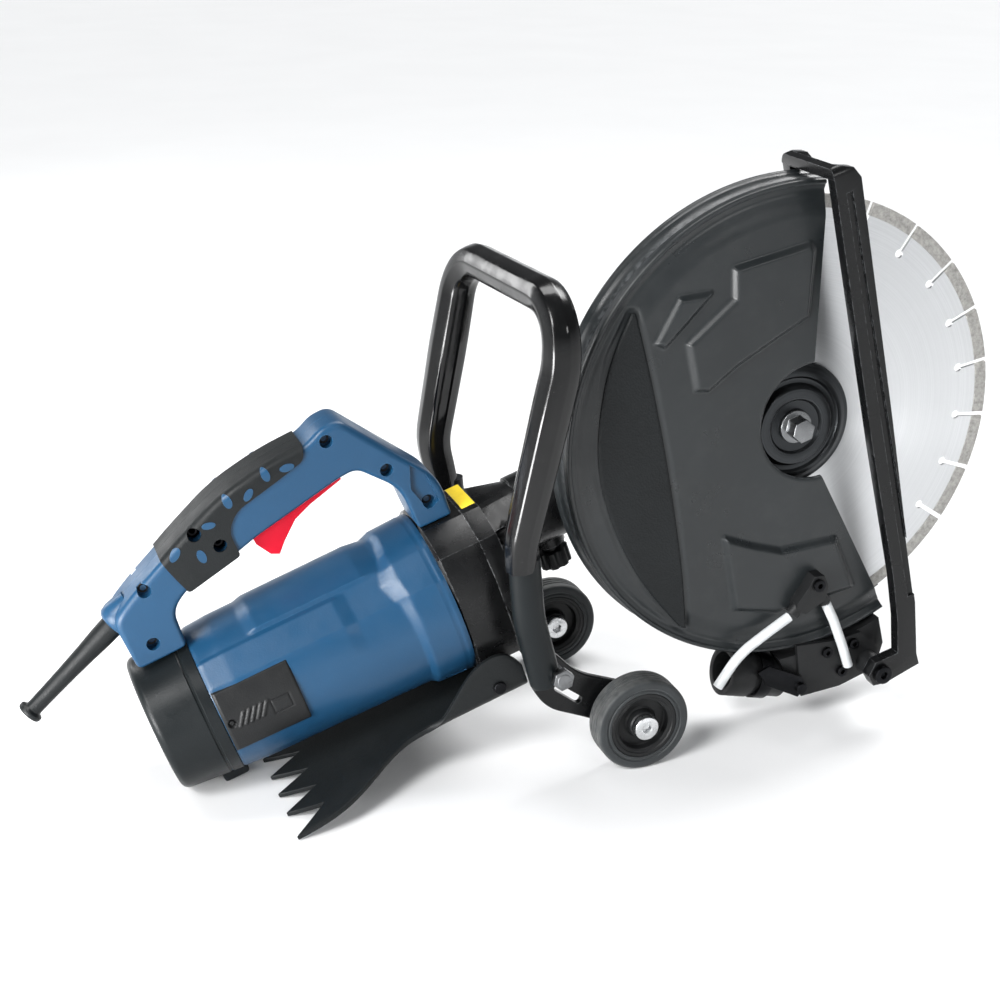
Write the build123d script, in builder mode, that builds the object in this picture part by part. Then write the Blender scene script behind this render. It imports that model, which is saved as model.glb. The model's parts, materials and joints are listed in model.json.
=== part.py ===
from build123d import *
import math
import os

os.makedirs("parts", exist_ok=True)

# Hand-held electric concrete saw. Everything is drawn in the tool frame and then stood up:
# the origin is where the blade's axis crosses the middle of the machine, +X runs along the motor
# towards the blade, +Y is the operator's left, +Z is up. All sizes are millimetres.

# ---- driving sizes ----------------------------------------------------------------------------
BLADE_R = 175.0          # 350 mm diamond blade
SEGMENT_H = 10.0
SEGMENTS = 24
SEGMENT_PHASE = 7.2      # degrees, where one of the slots between segments stands
BLADE_Y = -54.0          # blade plane, on the operator's right
MOTOR_Z = -31.0          # motor axis below the blade's axis
CAP_X = -526.0           # rear face of the motor's rear cap
SEAM_X = -479.0          # rear cap meets motor housing
RING_X = -291.0          # motor housing meets gear housing
COVER_X = -257.0         # gear housing meets gear neck
REAR_R = 56.5
FRONT_R = 65.0
GUARD_R = 188.0
GUARD_NEAR_Y = -70.5     # outer face of the guard's side plate
GUARD_FAR_Y = -40.0
SHEET = 2.5
WHEEL_X = -196.5
WHEEL_Z = -157.3
WHEEL_R = 37.2
WHEEL_W = 22.0
WHEEL_NEAR = (-103.0, 81.0)   # right-hand face of each wheel
ARM_Y = (-77.6, 104.4)        # right-hand face of each wheel arm
BAR_X = -243.0           # front handle's straight lower bars
ARM_BOLT_Z = -89.0       # bolts that clamp the wheel arms to those bars
HINGE_X = 4.0
HINGE_Z = -220.0
STANCE = 19.09           # degrees nose-up when it stands on its wheels and its rear cap
SHIFT = (203.35, -0.5, 250.11)

FIT = 0.05               # running clearance, radial
GAP = 0.4                # clearance between separate bodies

# gear train
PINION_TEETH = 12
FIRST_GEAR_TEETH = 20
BEVEL_PINION_TEETH = 11
BEVEL_GEAR_TEETH = 31
BEVEL_MODULE = 2.0

stand = Pos(*SHIFT) * Rot(0, -STANCE, 0)


def save(shape, name):
    """Stand a finished piece up, label it and write its file."""
    placed = stand * shape
    placed.label = name
    export_step(placed, f"parts/{name}.step")


def polar(radius, degrees):
    """A point on a circle."""
    a = math.radians(degrees)
    return (radius * math.cos(a), radius * math.sin(a))


def tooth_ring(teeth, root_r, pitch_r, tip_r, half_deg, phase):
    """Outline of a toothed wheel with straight flanks; half_deg is half a tooth at root, pitch, tip."""
    points = []
    for k in range(teeth):
        mid = phase + 360.0 * k / teeth
        points.append(polar(root_r, mid - half_deg[0]))
        points.append(polar(pitch_r, mid - half_deg[1]))
        points.append(polar(tip_r, mid - half_deg[2]))
        points.append(polar(tip_r, mid + half_deg[2]))
        points.append(polar(pitch_r, mid + half_deg[1]))
        points.append(polar(root_r, mid + half_deg[0]))
    return points


def across(x):
    """Section plane square to the motor: local x is +Y, local y is +Z."""
    return Plane(origin=(x, 0, 0), x_dir=(0, 1, 0), z_dir=(1, 0, 0))


def side(y):
    """Side plane seen from the right: local x is +X, local y is +Z, extrudes towards -Y."""
    return Plane(origin=(0, y, 0), x_dir=(1, 0, 0), z_dir=(0, -1, 0))


MOTOR = Axis((0, 0, MOTOR_Z), (1, 0, 0))

# ---- motor housing and rear cap ---------------------------------------------------------------
with BuildPart() as motor_housing:
    with BuildSketch(Plane.XZ) as section:
        with BuildLine():
            Polyline(
                (SEAM_X, MOTOR_Z + REAR_R - 3), (SEAM_X, MOTOR_Z + REAR_R),
                (SEAM_X + 20, MOTOR_Z + 58), (-350, MOTOR_Z + 59.5), (-318, MOTOR_Z + 63),
                (RING_X, MOTOR_Z + FRONT_R), (RING_X, MOTOR_Z + FRONT_R - 3.5),
                (-320, MOTOR_Z + 59.5), (-350, MOTOR_Z + 56), (SEAM_X + 20, MOTOR_Z + 54.5),
                close=True,
            )
        make_face()
    revolve(axis=MOTOR)
    # openings for the brush covers, one each side
    with BuildSketch(side(80)):
        with Locations((-448, MOTOR_Z + 6)):
            Rectangle(50, 46)
    extrude(amount=160, mode=Mode.SUBTRACT)
    # cooling slots under the front
    with Locations(*[Location((-305, 0, MOTOR_Z), (a, 0, 0)) for a in range(-40, 41, 20)]):
        with Locations((0, 0, -62)):
            Box(16, 5, 20, mode=Mode.SUBTRACT)
save(motor_housing.part, "motor_housing")

with BuildPart() as rear_cap:
    with BuildSketch(Plane.XZ):
        with BuildLine():
            Polyline(
                (SEAM_X, MOTOR_Z + REAR_R), (CAP_X + 4, MOTOR_Z + 53), (CAP_X, MOTOR_Z + 49),
                (CAP_X, MOTOR_Z), (CAP_X + 5, MOTOR_Z), (CAP_X + 5, MOTOR_Z + 47),
                (CAP_X + 8, MOTOR_Z + 49), (SEAM_X, MOTOR_Z + REAR_R - 3.5), close=True,
            )
        make_face()
    revolve(axis=MOTOR)
    # bearing seat inside, air slots through the end
    with BuildSketch(across(CAP_X + 5)):
        with Locations((0, MOTOR_Z)):
            Circle(17)
            Circle(13, mode=Mode.SUBTRACT)
    extrude(amount=14)
    with BuildSketch(across(CAP_X - 1)):
        with Locations((0, MOTOR_Z)):
            with PolarLocations(32, 12):
                SlotOverall(18, 4)
    extrude(amount=8, mode=Mode.SUBTRACT)
    # foot block under the seam
    with BuildSketch(side(14)):
        Polygon((SEAM_X - 16, -82), (SEAM_X - 1, -82), (SEAM_X - 1, -96), (SEAM_X - 13, -94), align=None)
    extrude(amount=28)
save(rear_cap.part, "rear_cap")

with BuildPart() as brush_covers:
    with BuildSketch(Plane.XZ):
        with BuildLine():
            Polyline((-474, MOTOR_Z + 56.6), (-422, MOTOR_Z + 57.6), (-422, MOTOR_Z + 61),
                     (-474, MOTOR_Z + 60), close=True)
        make_face()
    revolve(axis=MOTOR)
    with BuildSketch(side(80)):
        with Locations((-448, MOTOR_Z + 6)):
            RectangleRounded(49.4, 45.4, 3)
    extrude(amount=160, mode=Mode.INTERSECT)
    with BuildSketch(side(80)):
        with Locations((-466, MOTOR_Z + 6)):
            Circle(2.2)
    extrude(amount=160, mode=Mode.SUBTRACT)
save(brush_covers.part, "brush_covers")

# ---- motor inside -----------------------------------------------------------------------------
with BuildPart() as field_core:
    with BuildSketch(across(-405)):
        with Locations((0, MOTOR_Z)):
            Circle(50)
            Circle(29.5, mode=Mode.SUBTRACT)
            with Locations((0, 42), (0, -42)):
                Rectangle(26, 9, mode=Mode.SUBTRACT)
    extrude(amount=64)
    # four ribs that hold it in the housing
    with Locations(*[Location((-373, 0, MOTOR_Z), (a, 0, 0)) for a in (45, 135, 225, 315)]):
        with Locations((0, 0, 52)):
            Box(60, 8, 5)
save(field_core.part, "field_core")

with BuildPart() as armature_core:
    with BuildSketch(across(-403)):
        with Locations((0, MOTOR_Z)):
            Circle(28)
            Circle(8, mode=Mode.SUBTRACT)
            with PolarLocations(27, 14):
                Rectangle(5, 2, mode=Mode.SUBTRACT)
    extrude(amount=60)
    for start, length in ((-413, 10), (-343, 10)):
        with BuildSketch(across(start)):
            with Locations((0, MOTOR_Z)):
                Circle(24)
                Circle(8, mode=Mode.SUBTRACT)
        extrude(amount=length)
save(armature_core.part, "armature_core")

with BuildPart() as commutator:
    with BuildSketch(across(-460)):
        with Locations((0, MOTOR_Z)):
            Circle(17)
            Circle(8, mode=Mode.SUBTRACT)
    extrude(amount=30)
save(commutator.part, "commutator")

with BuildPart() as armature_shaft:
    with BuildSketch(across(-515)):
        with Locations((0, MOTOR_Z)):
            Circle(6)
    extrude(amount=24)
    with BuildSketch(across(-491)):
        with Locations((0, MOTOR_Z)):
            Circle(8)
    extrude(amount=196)
    with BuildSketch(across(-295)):
        with Locations((0, MOTOR_Z)):
            Circle(7)
    extrude(amount=48)
save(armature_shaft.part, "armature_shaft")

with BuildPart() as cooling_fan:
    with BuildSketch(across(-329)):
        with Locations((0, MOTOR_Z)):
            Circle(50)
            Circle(8, mode=Mode.SUBTRACT)
    extrude(amount=2.5)
    with Locations(*[Location((-320.5, 0, MOTOR_Z), (a, 0, 0)) for a in range(0, 360, 30)]):
        with Locations((0, 0, 33)):
            Box(13, 1.8, 32)
    with BuildSketch(across(-327)):
        with Locations((0, MOTOR_Z)):
            Circle(14)
            Circle(8, mode=Mode.SUBTRACT)
    extrude(amount=13)
save(cooling_fan.part, "cooling_fan")

with BuildPart() as motor_bearings:
    with BuildSketch(across(-515)):
        with Locations((0, MOTOR_Z)):
            Circle(13)
            Circle(6 + FIT, mode=Mode.SUBTRACT)
    extrude(amount=8)
    with BuildSketch(across(-294)):
        with Locations((0, MOTOR_Z)):
            Circle(16)
            Circle(7 + FIT, mode=Mode.SUBTRACT)
    extrude(amount=9)
save(motor_bearings.part, "motor_bearings")

with BuildPart() as brush_holders:
    with Locations((-446, 33, MOTOR_Z), (-446, -33, MOTOR_Z)):
        Box(16, 26, 12)
        Box(10.2, 30, 7.2, mode=Mode.SUBTRACT)
    with Locations((-446, 50.5, MOTOR_Z), (-446, -50.5, MOTOR_Z)):
        Box(12, 9, 8)
save(brush_holders.part, "brush_holders")

with BuildPart() as carbon_brushes:
    with Locations((-446, 28.5, MOTOR_Z), (-446, -28.5, MOTOR_Z)):
        Box(10, 22, 7)
save(carbon_brushes.part, "carbon_brushes")

# ---- gear housing, neck and head --------------------------------------------------------------
HALF_SECTION = [(24, 63), (50, 50), (61, 22), (61, -22), (50, -50), (24, -63)]
SCREWS = [(44, 42), (-44, 42), (44, -42), (-44, -42)]
CASE = [(y, MOTOR_Z + z) for y, z in HALF_SECTION] + [(-y, MOTOR_Z + z) for y, z in reversed(HALF_SECTION)]

with BuildPart() as gear_housing:
    with BuildSketch(across(RING_X)):
        Polygon(*CASE, align=None)
    extrude(amount=COVER_X - RING_X)
    chamfer(gear_housing.faces().sort_by(Axis.X)[0].edges(), length=2)
    # hollow, with a wall at the motor end that carries the bearing
    with BuildSketch(across(RING_X + 8)):
        Polygon(*[(y * 0.9, MOTOR_Z + (z - MOTOR_Z) * 0.9) for y, z in CASE], align=None)
    extrude(amount=60, mode=Mode.SUBTRACT)
    with BuildSketch(across(RING_X - 4)):
        with Locations((0, MOTOR_Z)):
            Circle(20)
    extrude(amount=14)
    with BuildSketch(across(RING_X)):
        with Locations((0, 0)):
            Circle(17)
    extrude(amount=14)
    with BuildSketch(across(RING_X - 3)):
        with Locations((0, MOTOR_Z)):
            Circle(16)
    extrude(amount=9, mode=Mode.SUBTRACT)
    with BuildSketch(across(RING_X - 10)):
        with Locations((0, MOTOR_Z)):
            Circle(9)
    extrude(amount=40, mode=Mode.SUBTRACT)
    # blind seat for the layshaft's rear bearing
    with BuildSketch(across(RING_X + 5)):
        Circle(13)
    extrude(amount=20, mode=Mode.SUBTRACT)
save(gear_housing.part, "gear_housing")

with BuildPart() as gear_neck:
    # flange over the gear housing, tapering to the neck
    with BuildSketch(across(COVER_X)):
        Polygon(*CASE, align=None)
    extrude(amount=14)
    with BuildSketch(across(COVER_X + 14)):
        Polygon(*[(y * 0.94, MOTOR_Z + (z - MOTOR_Z) * 0.94) for y, z in CASE], align=None)
    with BuildSketch(across(-212)):
        with Locations((0, -6)):
            Circle(33)
    loft()
    with BuildSketch(across(-212)):
        Circle(30)
    extrude(amount=180)
    # bevel head round the blade's axis
    with BuildSketch(side(38)):
        Circle(40)
    extrude(amount=68)
    # pad for the clamp knob under the neck
    with BuildSketch(Plane.XY.offset(-34)):
        with Locations((-196, 0)):
            Circle(13)
    extrude(amount=20)
    # counterbores for the four long screws
    with BuildSketch(across(COVER_X + 10)):
        with Locations(*[(y, MOTOR_Z + z) for y, z in SCREWS]):
            Circle(6.2)
    extrude(amount=60, mode=Mode.SUBTRACT)
    # cavities: first gear, layshaft, bevel gear
    with BuildSketch(across(COVER_X - 1)):
        Polygon(*[(y * 0.86, MOTOR_Z + (z - MOTOR_Z) * 0.86) for y, z in CASE], align=None)
    extrude(amount=13, mode=Mode.SUBTRACT)
    with BuildSketch(across(COVER_X + 10)):
        Circle(13)
    extrude(amount=300 - 72, mode=Mode.SUBTRACT)
    with BuildSketch(across(COVER_X + 26)):
        Circle(23)
    extrude(amount=-62 - (COVER_X + 26), mode=Mode.SUBTRACT)
    with BuildSketch(across(COVER_X + 10)):
        Circle(25)
    extrude(amount=16, mode=Mode.SUBTRACT)
    with BuildSketch(across(-34)):
        Circle(14)
    extrude(amount=40, mode=Mode.SUBTRACT)
    with BuildSketch(side(20)):
        Circle(36.5)
    extrude(amount=60, mode=Mode.SUBTRACT)
    # far bearing seat, closed outside
    with BuildSketch(side(32)):
        Circle(15)
    extrude(amount=14, mode=Mode.SUBTRACT)
save(gear_neck.part, "gear_neck")

with BuildPart() as gear_head_cover:
    with BuildSketch(side(-30)):
        Circle(40)
    extrude(amount=5)
    with BuildSketch(side(-24)):
        Circle(36)
        Circle(27, mode=Mode.SUBTRACT)
    extrude(amount=6)
    with BuildSketch(side(-35)):
        Circle(30)
    extrude(amount=10)
    with BuildSketch(side(-30)):
        Circle(17.5)
    extrude(amount=12, mode=Mode.SUBTRACT)
    with BuildSketch(side(-41)):
        Circle(13)
    extrude(amount=6, mode=Mode.SUBTRACT)
save(gear_head_cover.part, "gear_head_cover")

# ---- gear train -------------------------------------------------------------------------------
module = 2 * -MOTOR_Z / (PINION_TEETH + FIRST_GEAR_TEETH)


def spur(teeth, phase, centre_z):
    """Sketch outline of one wheel of the first gear pair."""
    pitch = module * teeth / 2
    half = 360 / teeth / 4 - math.degrees(0.14 / pitch)
    slope = math.tan(math.radians(20)) * module
    rise = math.degrees(slope / pitch)
    ring = tooth_ring(teeth, pitch - 1.2 * module, pitch, pitch + 0.85 * module,
                      (half + 1.0 * rise, half, half - 0.95 * rise), phase)
    return [(y, centre_z + z) for y, z in ring]


with BuildPart() as motor_pinion:
    with BuildSketch(across(-281)):
        Polygon(*spur(PINION_TEETH, 90, MOTOR_Z), align=None)
        with Locations((0, MOTOR_Z)):
            Circle(7, mode=Mode.SUBTRACT)
    extrude(amount=20)
save(motor_pinion.part, "motor_pinion")

with BuildPart() as first_gear:
    with BuildSketch(across(-275)):
        Polygon(*spur(FIRST_GEAR_TEETH, -90 + 9, 0), align=None)
        Circle(9, mode=Mode.SUBTRACT)
    extrude(amount=14)
save(first_gear.part, "first_gear")

with BuildPart() as layshaft:
    with BuildSketch(across(-285)):
        Circle(7)
    extrude(amount=10)
    with BuildSketch(across(-275)):
        Circle(9)
    extrude(amount=214)
    with BuildSketch(across(-61)):
        Circle(7)
    extrude(amount=41)
save(layshaft.part, "layshaft")

with BuildPart() as layshaft_bearings:
    with BuildSketch(across(-286)):
        Circle(13)
        Circle(7 + FIT, mode=Mode.SUBTRACT)
    extrude(amount=8)
    with BuildSketch(across(-56)):
        Circle(13)
        Circle(7 + FIT, mode=Mode.SUBTRACT)
    extrude(amount=12)
save(layshaft_bearings.part, "layshaft_bearings")

CONE = (BEVEL_MODULE * BEVEL_PINION_TEETH / 2, BEVEL_MODULE * BEVEL_GEAR_TEETH / 2)
CONE_DEG = math.degrees(math.atan2(CONE[0], CONE[1]))


def bevel(teeth, distance, pitch_deg, phase, scale):
    """Section of a bevel wheel at a distance from the shared apex, scaled towards it."""
    tip = distance * math.tan(math.radians(pitch_deg + 2.5))
    root = distance * math.tan(math.radians(pitch_deg - 3.9))
    pitch = distance * math.tan(math.radians(pitch_deg))
    quarter = 360 / teeth / 4
    points = tooth_ring(teeth, root, pitch, tip, (quarter * 1.15, quarter * 0.8, quarter * 0.38), phase)
    return [(x * scale, y * scale) for x, y in points]


with BuildPart() as bevel_pinion:
    with BuildSketch(across(-CONE[1])):
        Polygon(*bevel(BEVEL_PINION_TEETH, CONE[1], CONE_DEG, 180, 1.0), align=None)
    with BuildSketch(across(-CONE[1] * 0.7)):
        Polygon(*bevel(BEVEL_PINION_TEETH, CONE[1], CONE_DEG, 180, 0.7), align=None)
    loft(ruled=True)
    with BuildSketch(across(-CONE[1] - 9)):
        Circle(9.5)
    extrude(amount=9)
    with BuildSketch(across(-CONE[1] - 10)):
        Circle(7)
    extrude(amount=40, mode=Mode.SUBTRACT)
save(bevel_pinion.part, "bevel_pinion")

GEAR_BACK = 13.8         # plane of the bevel gear's blank, behind its root cone
GEAR_PHASE = 180 + 180 / BEVEL_GEAR_TEETH
with BuildPart() as bevel_gear:
    with BuildSketch(side(-GEAR_BACK)):
        Polygon(*bevel(BEVEL_GEAR_TEETH, GEAR_BACK, 90 - CONE_DEG, GEAR_PHASE, 1.0), align=None)
    with BuildSketch(side(-GEAR_BACK * 0.57)):
        Polygon(*bevel(BEVEL_GEAR_TEETH, GEAR_BACK, 90 - CONE_DEG, GEAR_PHASE, 0.57), align=None)
    loft(ruled=True)
    with BuildSketch(side(0)):
        Circle(33.5)
    extrude(amount=GEAR_BACK, mode=Mode.INTERSECT)
    with BuildSketch(side(-GEAR_BACK)):
        Circle(33.5)
    extrude(amount=6)
    with BuildSketch(side(-GEAR_BACK - 6)):
        Circle(18)
    extrude(amount=10)
    with BuildSketch(side(0)):
        Circle(10)
    extrude(amount=40, mode=Mode.SUBTRACT)
save(bevel_gear.part, "bevel_gear")

# ---- spindle, flanges and blade ---------------------------------------------------------------
with BuildPart() as spindle:
    with BuildSketch(side(31)):
        Circle(8)
    extrude(amount=13)
    with BuildSketch(side(18)):
        Circle(10)
    extrude(amount=63.5)
    with BuildSketch(side(-45.5)):
        Circle(12.65)
    extrude(amount=13)
    with BuildSketch(side(-40)):
        Circle(4.2)
    extrude(amount=30, mode=Mode.SUBTRACT)
save(spindle.part, "spindle")

with BuildPart() as spindle_bearings:
    with BuildSketch(side(30)):
        Circle(15)
        Circle(8 + FIT, mode=Mode.SUBTRACT)
    extrude(amount=10)
    with BuildSketch(side(-30.5)):
        Circle(17.5)
        Circle(10 + FIT, mode=Mode.SUBTRACT)
    extrude(amount=10)
save(spindle_bearings.part, "spindle_bearings")

with BuildPart() as inner_flange:
    with BuildSketch(side(-46)):
        Circle(26)
        Circle(12.65, mode=Mode.SUBTRACT)
    extrude(amount=4)
    with BuildSketch(side(-50)):
        Circle(49)
        Circle(12.65, mode=Mode.SUBTRACT)
        Circle(38, mode=Mode.SUBTRACT)
    extrude(amount=2.9)
    with BuildSketch(side(-50)):
        Circle(39)
        Circle(12.65, mode=Mode.SUBTRACT)
    extrude(amount=2)
save(inner_flange.part, "inner_flange")

CORE_R = BLADE_R - SEGMENT_H
with BuildPart() as blade_core:
    with BuildSketch(side(BLADE_Y + 1.1)):
        Circle(CORE_R)
        Circle(12.7, mode=Mode.SUBTRACT)
        with PolarLocations(CORE_R - 7, SEGMENTS, start_angle=SEGMENT_PHASE):
            Rectangle(15, 3.2, mode=Mode.SUBTRACT)
        with PolarLocations(CORE_R - 15, SEGMENTS, start_angle=SEGMENT_PHASE):
            Circle(3.4, mode=Mode.SUBTRACT)
    extrude(amount=2.2)
save(blade_core.part, "blade_core")

with BuildPart() as blade_segments:
    with BuildSketch(side(BLADE_Y + 1.55)):
        Circle(BLADE_R)
        Circle(CORE_R, mode=Mode.SUBTRACT)
        with PolarLocations(CORE_R + 4, SEGMENTS, start_angle=SEGMENT_PHASE):
            Rectangle(20, 3.6, mode=Mode.SUBTRACT)
    extrude(amount=3.1)
save(blade_segments.part, "blade_segments")

with BuildPart() as outer_flange:
    with BuildSketch(side(BLADE_Y - 1.1)):
        Circle(49)
        Circle(38, mode=Mode.SUBTRACT)
    extrude(amount=3)
    with BuildSketch(side(BLADE_Y - 2.1)):
        Circle(45)
        Circle(13, mode=Mode.SUBTRACT)
    extrude(amount=5)
    with BuildSketch(side(BLADE_Y - 7.1)):
        Circle(30)
        Circle(20, mode=Mode.SUBTRACT)
    extrude(amount=4.5)
    with BuildSketch(side(BLADE_Y - 5)):
        Circle(21)
        Circle(4.2, mode=Mode.SUBTRACT)
    extrude(amount=4)
save(outer_flange.part, "outer_flange")

with BuildPart() as blade_bolt:
    with BuildSketch(side(-44)):
        Circle(4.2)
    extrude(amount=20)
    with BuildSketch(side(-63)):
        Circle(13)
    extrude(amount=3)
    with BuildSketch(side(-66)):
        RegularPolygon(9.5, 6)
    extrude(amount=12)
save(blade_bolt.part, "blade_bolt")

# ---- guard ------------------------------------------------------------------------------------
GUARD_TOP = 68.4         # degrees: the guard's open edges
GUARD_BOTTOM = 280.0
PLATE_TOP = 69.4         # direction of the end of the side plate's upper edge, which starts at PLATE_EDGE_X
PLATE_EDGE_X = 9.3


def sector(radius, start, end):
    """Pie outline from the blade's axis."""
    steps = 24
    arc = [polar(radius, start + (end - start) * k / steps) for k in range(steps + 1)]
    return [(0, 0)] + arc


with BuildPart() as guard_shell:
    with BuildSketch(side(GUARD_FAR_Y)):
        Circle(GUARD_R)
        Polygon(*sector(GUARD_R * 1.6, GUARD_TOP, GUARD_BOTTOM + 5), align=None, mode=Mode.INTERSECT)
        Circle(34)
        Circle(30 + 0.1, mode=Mode.SUBTRACT)
    extrude(amount=SHEET)
    with BuildSketch(side(GUARD_FAR_Y)):
        Circle(GUARD_R)
        Circle(GUARD_R - SHEET, mode=Mode.SUBTRACT)
        Polygon(*sector(GUARD_R * 1.6, GUARD_TOP, GUARD_BOTTOM), align=None, mode=Mode.INTERSECT)
    extrude(amount=GUARD_FAR_Y - GUARD_NEAR_Y - SHEET)
    # rolled bead at the far rim
    with BuildSketch(side(GUARD_FAR_Y + 2)):
        Circle(GUARD_R + 2.5)
        Circle(GUARD_R - 4, mode=Mode.SUBTRACT)
        Polygon(*sector(GUARD_R * 1.6, GUARD_TOP, GUARD_BOTTOM), align=None, mode=Mode.INTERSECT)
    extrude(amount=4)
save(guard_shell.part, "guard_shell")

with BuildPart() as guard_clamp:
    with BuildSketch(side(GUARD_FAR_Y + 4)):
        Circle(34)
        Circle(30 + FIT, mode=Mode.SUBTRACT)
    extrude(amount=4)
    with Locations((0, GUARD_FAR_Y + 2, 38.5)):
        Box(16, 4, 10)
save(guard_clamp.part, "guard_clamp")

with BuildPart() as guard_side_plate:
    with BuildSketch(side(GUARD_NEAR_Y + SHEET)):
        Circle(GUARD_R + 1.5)
        Polygon((PLATE_EDGE_X, 0), *sector(GUARD_R * 1.6, PLATE_TOP, GUARD_BOTTOM)[1:], (0, 0),
                align=None, mode=Mode.INTERSECT)
        with Locations((15, 0)):
            Circle(46.5, mode=Mode.SUBTRACT)
    extrude(amount=SHEET)
    # pressed panels
    with BuildSketch(side(GUARD_NEAR_Y)):
        Polygon((-18, 142), (43, 135), (28, 84), (-5, 78), (-36, 72), (-62, 63), (-71, 67),
                (-67, 103), (-24, 120), align=None)
        Polygon((-90, 114), (-64, 138), (-40, 132), (-85, 109), align=None)
        Polygon((-82, -58), (-63, -74), (-41, -90), (5, -102), (9, -148), (-56, -139), (-90, -119), align=None)
    extrude(amount=1.8)
    with BuildSketch(side(GUARD_NEAR_Y)):
        Circle(GUARD_R - 4)
        Polygon((-100, 300), (-98, 116), (-103, 73), (-109, 34), (-117, -24), (-120, -58), (-131, -121),
                (-160, -180), (-400, -180), (-400, 300), align=None, mode=Mode.INTERSECT)
    extrude(amount=1.5)
save(guard_side_plate.part, "guard_side_plate")

# ---- water and dust outlet at the guard's foot --------------------------------------------------
NEAR_BAR = (-97.0, -87.0)     # sides of the depth frame's two bars
FAR_BAR = (-32.0, -22.0)
spout_dir = (-31, 0, 20)
with BuildPart() as outlet_box:
    with BuildSketch(side(GUARD_NEAR_Y)):
        Polygon((-50, -176), (-18, -188), (6, -192), (16, -213), (10, -230), (-24, -230), (-58, -222), align=None)
    extrude(amount=4)
    with BuildSketch(side(GUARD_FAR_Y)):
        Polygon((-66, -183), (-30, -191), (6, -192), (10, -226), (-24, -228), (-62, -220), align=None)
    extrude(amount=GUARD_FAR_Y - GUARD_NEAR_Y)
    # passage to the spout
    with BuildSketch(side(GUARD_FAR_Y - 5)):
        Polygon((-80, -193), (-30, -199), (-10, -201), (-16, -219), (-60, -216), (-80, -210), align=None)
    extrude(amount=20.5, mode=Mode.SUBTRACT)
    # block that carries the depth frame's hinge
    with BuildSketch(side(GUARD_FAR_Y + 7)):
        Circle(GUARD_R + 40)
        Circle(GUARD_R + 3.5, mode=Mode.SUBTRACT)
        Polygon((-8, -185), (26, -185), (24, -214), (14, -230), (-6, -230), align=None, mode=Mode.INTERSECT)
    extrude(amount=GUARD_FAR_Y + 7 - GUARD_NEAR_Y)
    with BuildSketch(side(FAR_BAR[0] - GAP)):
        with Locations((HINGE_X, HINGE_Z)):
            Circle(9.5)
    extrude(amount=FAR_BAR[0] - GAP - (NEAR_BAR[1] + GAP))
    with BuildSketch(side(0)):
        with Locations((HINGE_X, HINGE_Z)):
            Circle(4.0)
    extrude(amount=140, mode=Mode.SUBTRACT)
    # socket for the spout
    with BuildSketch(Plane(origin=(-64, -55, -207.3), x_dir=(0, 1, 0), z_dir=spout_dir)):
        Circle(18.1)
    extrude(amount=40, mode=Mode.SUBTRACT)
save(outlet_box.part, "outlet_box")

with BuildPart() as dust_spout:
    with BuildSketch(Plane(origin=(-66, -55, -206), x_dir=(0, 1, 0), z_dir=spout_dir)):
        Circle(18)
        Circle(15, mode=Mode.SUBTRACT)
    extrude(amount=34)
    with BuildSketch(Plane(origin=(-92, -55, -189.2), x_dir=(0, 1, 0), z_dir=spout_dir)):
        Circle(20)
        Circle(15, mode=Mode.SUBTRACT)
    extrude(amount=20)
save(dust_spout.part, "dust_spout")

with BuildPart() as spout_clamp:
    with BuildSketch(Plane(origin=(-78, -55, -198.3), x_dir=(0, 1, 0), z_dir=spout_dir)):
        Circle(20.2)
        Circle(18.05, mode=Mode.SUBTRACT)
    extrude(amount=11)
    with BuildSketch(side(GUARD_NEAR_Y - 4.1)):
        Polygon((-88, -181), (-78, -180), (-54, -203), (-52, -214), (-62, -219), (-84, -196), align=None)
    extrude(amount=2.5)
    with BuildSketch(side(GUARD_NEAR_Y - 4.1)):
        with Locations((-58, -211)):
            Circle(4.5)
    extrude(amount=7)
save(spout_clamp.part, "spout_clamp")

with BuildPart() as water_valve:
    # standoff body on the side plate with two push-in outlets
    with BuildSketch(side(GUARD_NEAR_Y - 1.9)):
        Polygon((-31, -122), (-25, -116), (-17, -119), (-16, -130), (-22, -140), (-40, -144), (-47, -138),
                (-45, -132), align=None)
    extrude(amount=14.1)
    with Locations(Location((-40, GUARD_NEAR_Y - 10, -136), (0, -120, 0)),
                   Location((-24, GUARD_NEAR_Y - 10, -134), (0, 160, 0))):
        Cylinder(5.5, 22)
save(water_valve.part, "water_valve")

with BuildPart() as water_tubes:
    for route, radii in (
        (((-52, -80.5, -142.8), (-74, -81, -147), (-100, -80, -154), (-124, -78, -174)), (60, 60)),
        (((-19.6, -80.5, -146.5), (-17, -81, -165), (-15, -80, -190), (-14, -79, -212)), (80, 80)),
    ):
        with BuildLine() as path:
            FilletPolyline(*route, radius=radii[0])
        start = Plane(origin=path.line @ 0, z_dir=path.line % 0)
        with BuildSketch(start):
            Circle(4)
            Circle(2.5, mode=Mode.SUBTRACT)
        sweep(path=path.line)
save(water_tubes.part, "water_tubes")

with BuildPart() as guard_screws:
    for x, z in ((-27, -194), (-3, -198), (-19, -217)):
        with BuildSketch(side(GUARD_NEAR_Y - 4)):
            with Locations((x, z)):
                Circle(4.5)
                RegularPolygon(2.2, 6, mode=Mode.SUBTRACT)
        extrude(amount=3.2)
    with BuildSketch(side(GUARD_NEAR_Y - 16)):
        with Locations((-24, -124)):
            Circle(5)
            RegularPolygon(2.4, 6, mode=Mode.SUBTRACT)
    extrude(amount=3.5)
save(guard_screws.part, "guard_screws")

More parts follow.
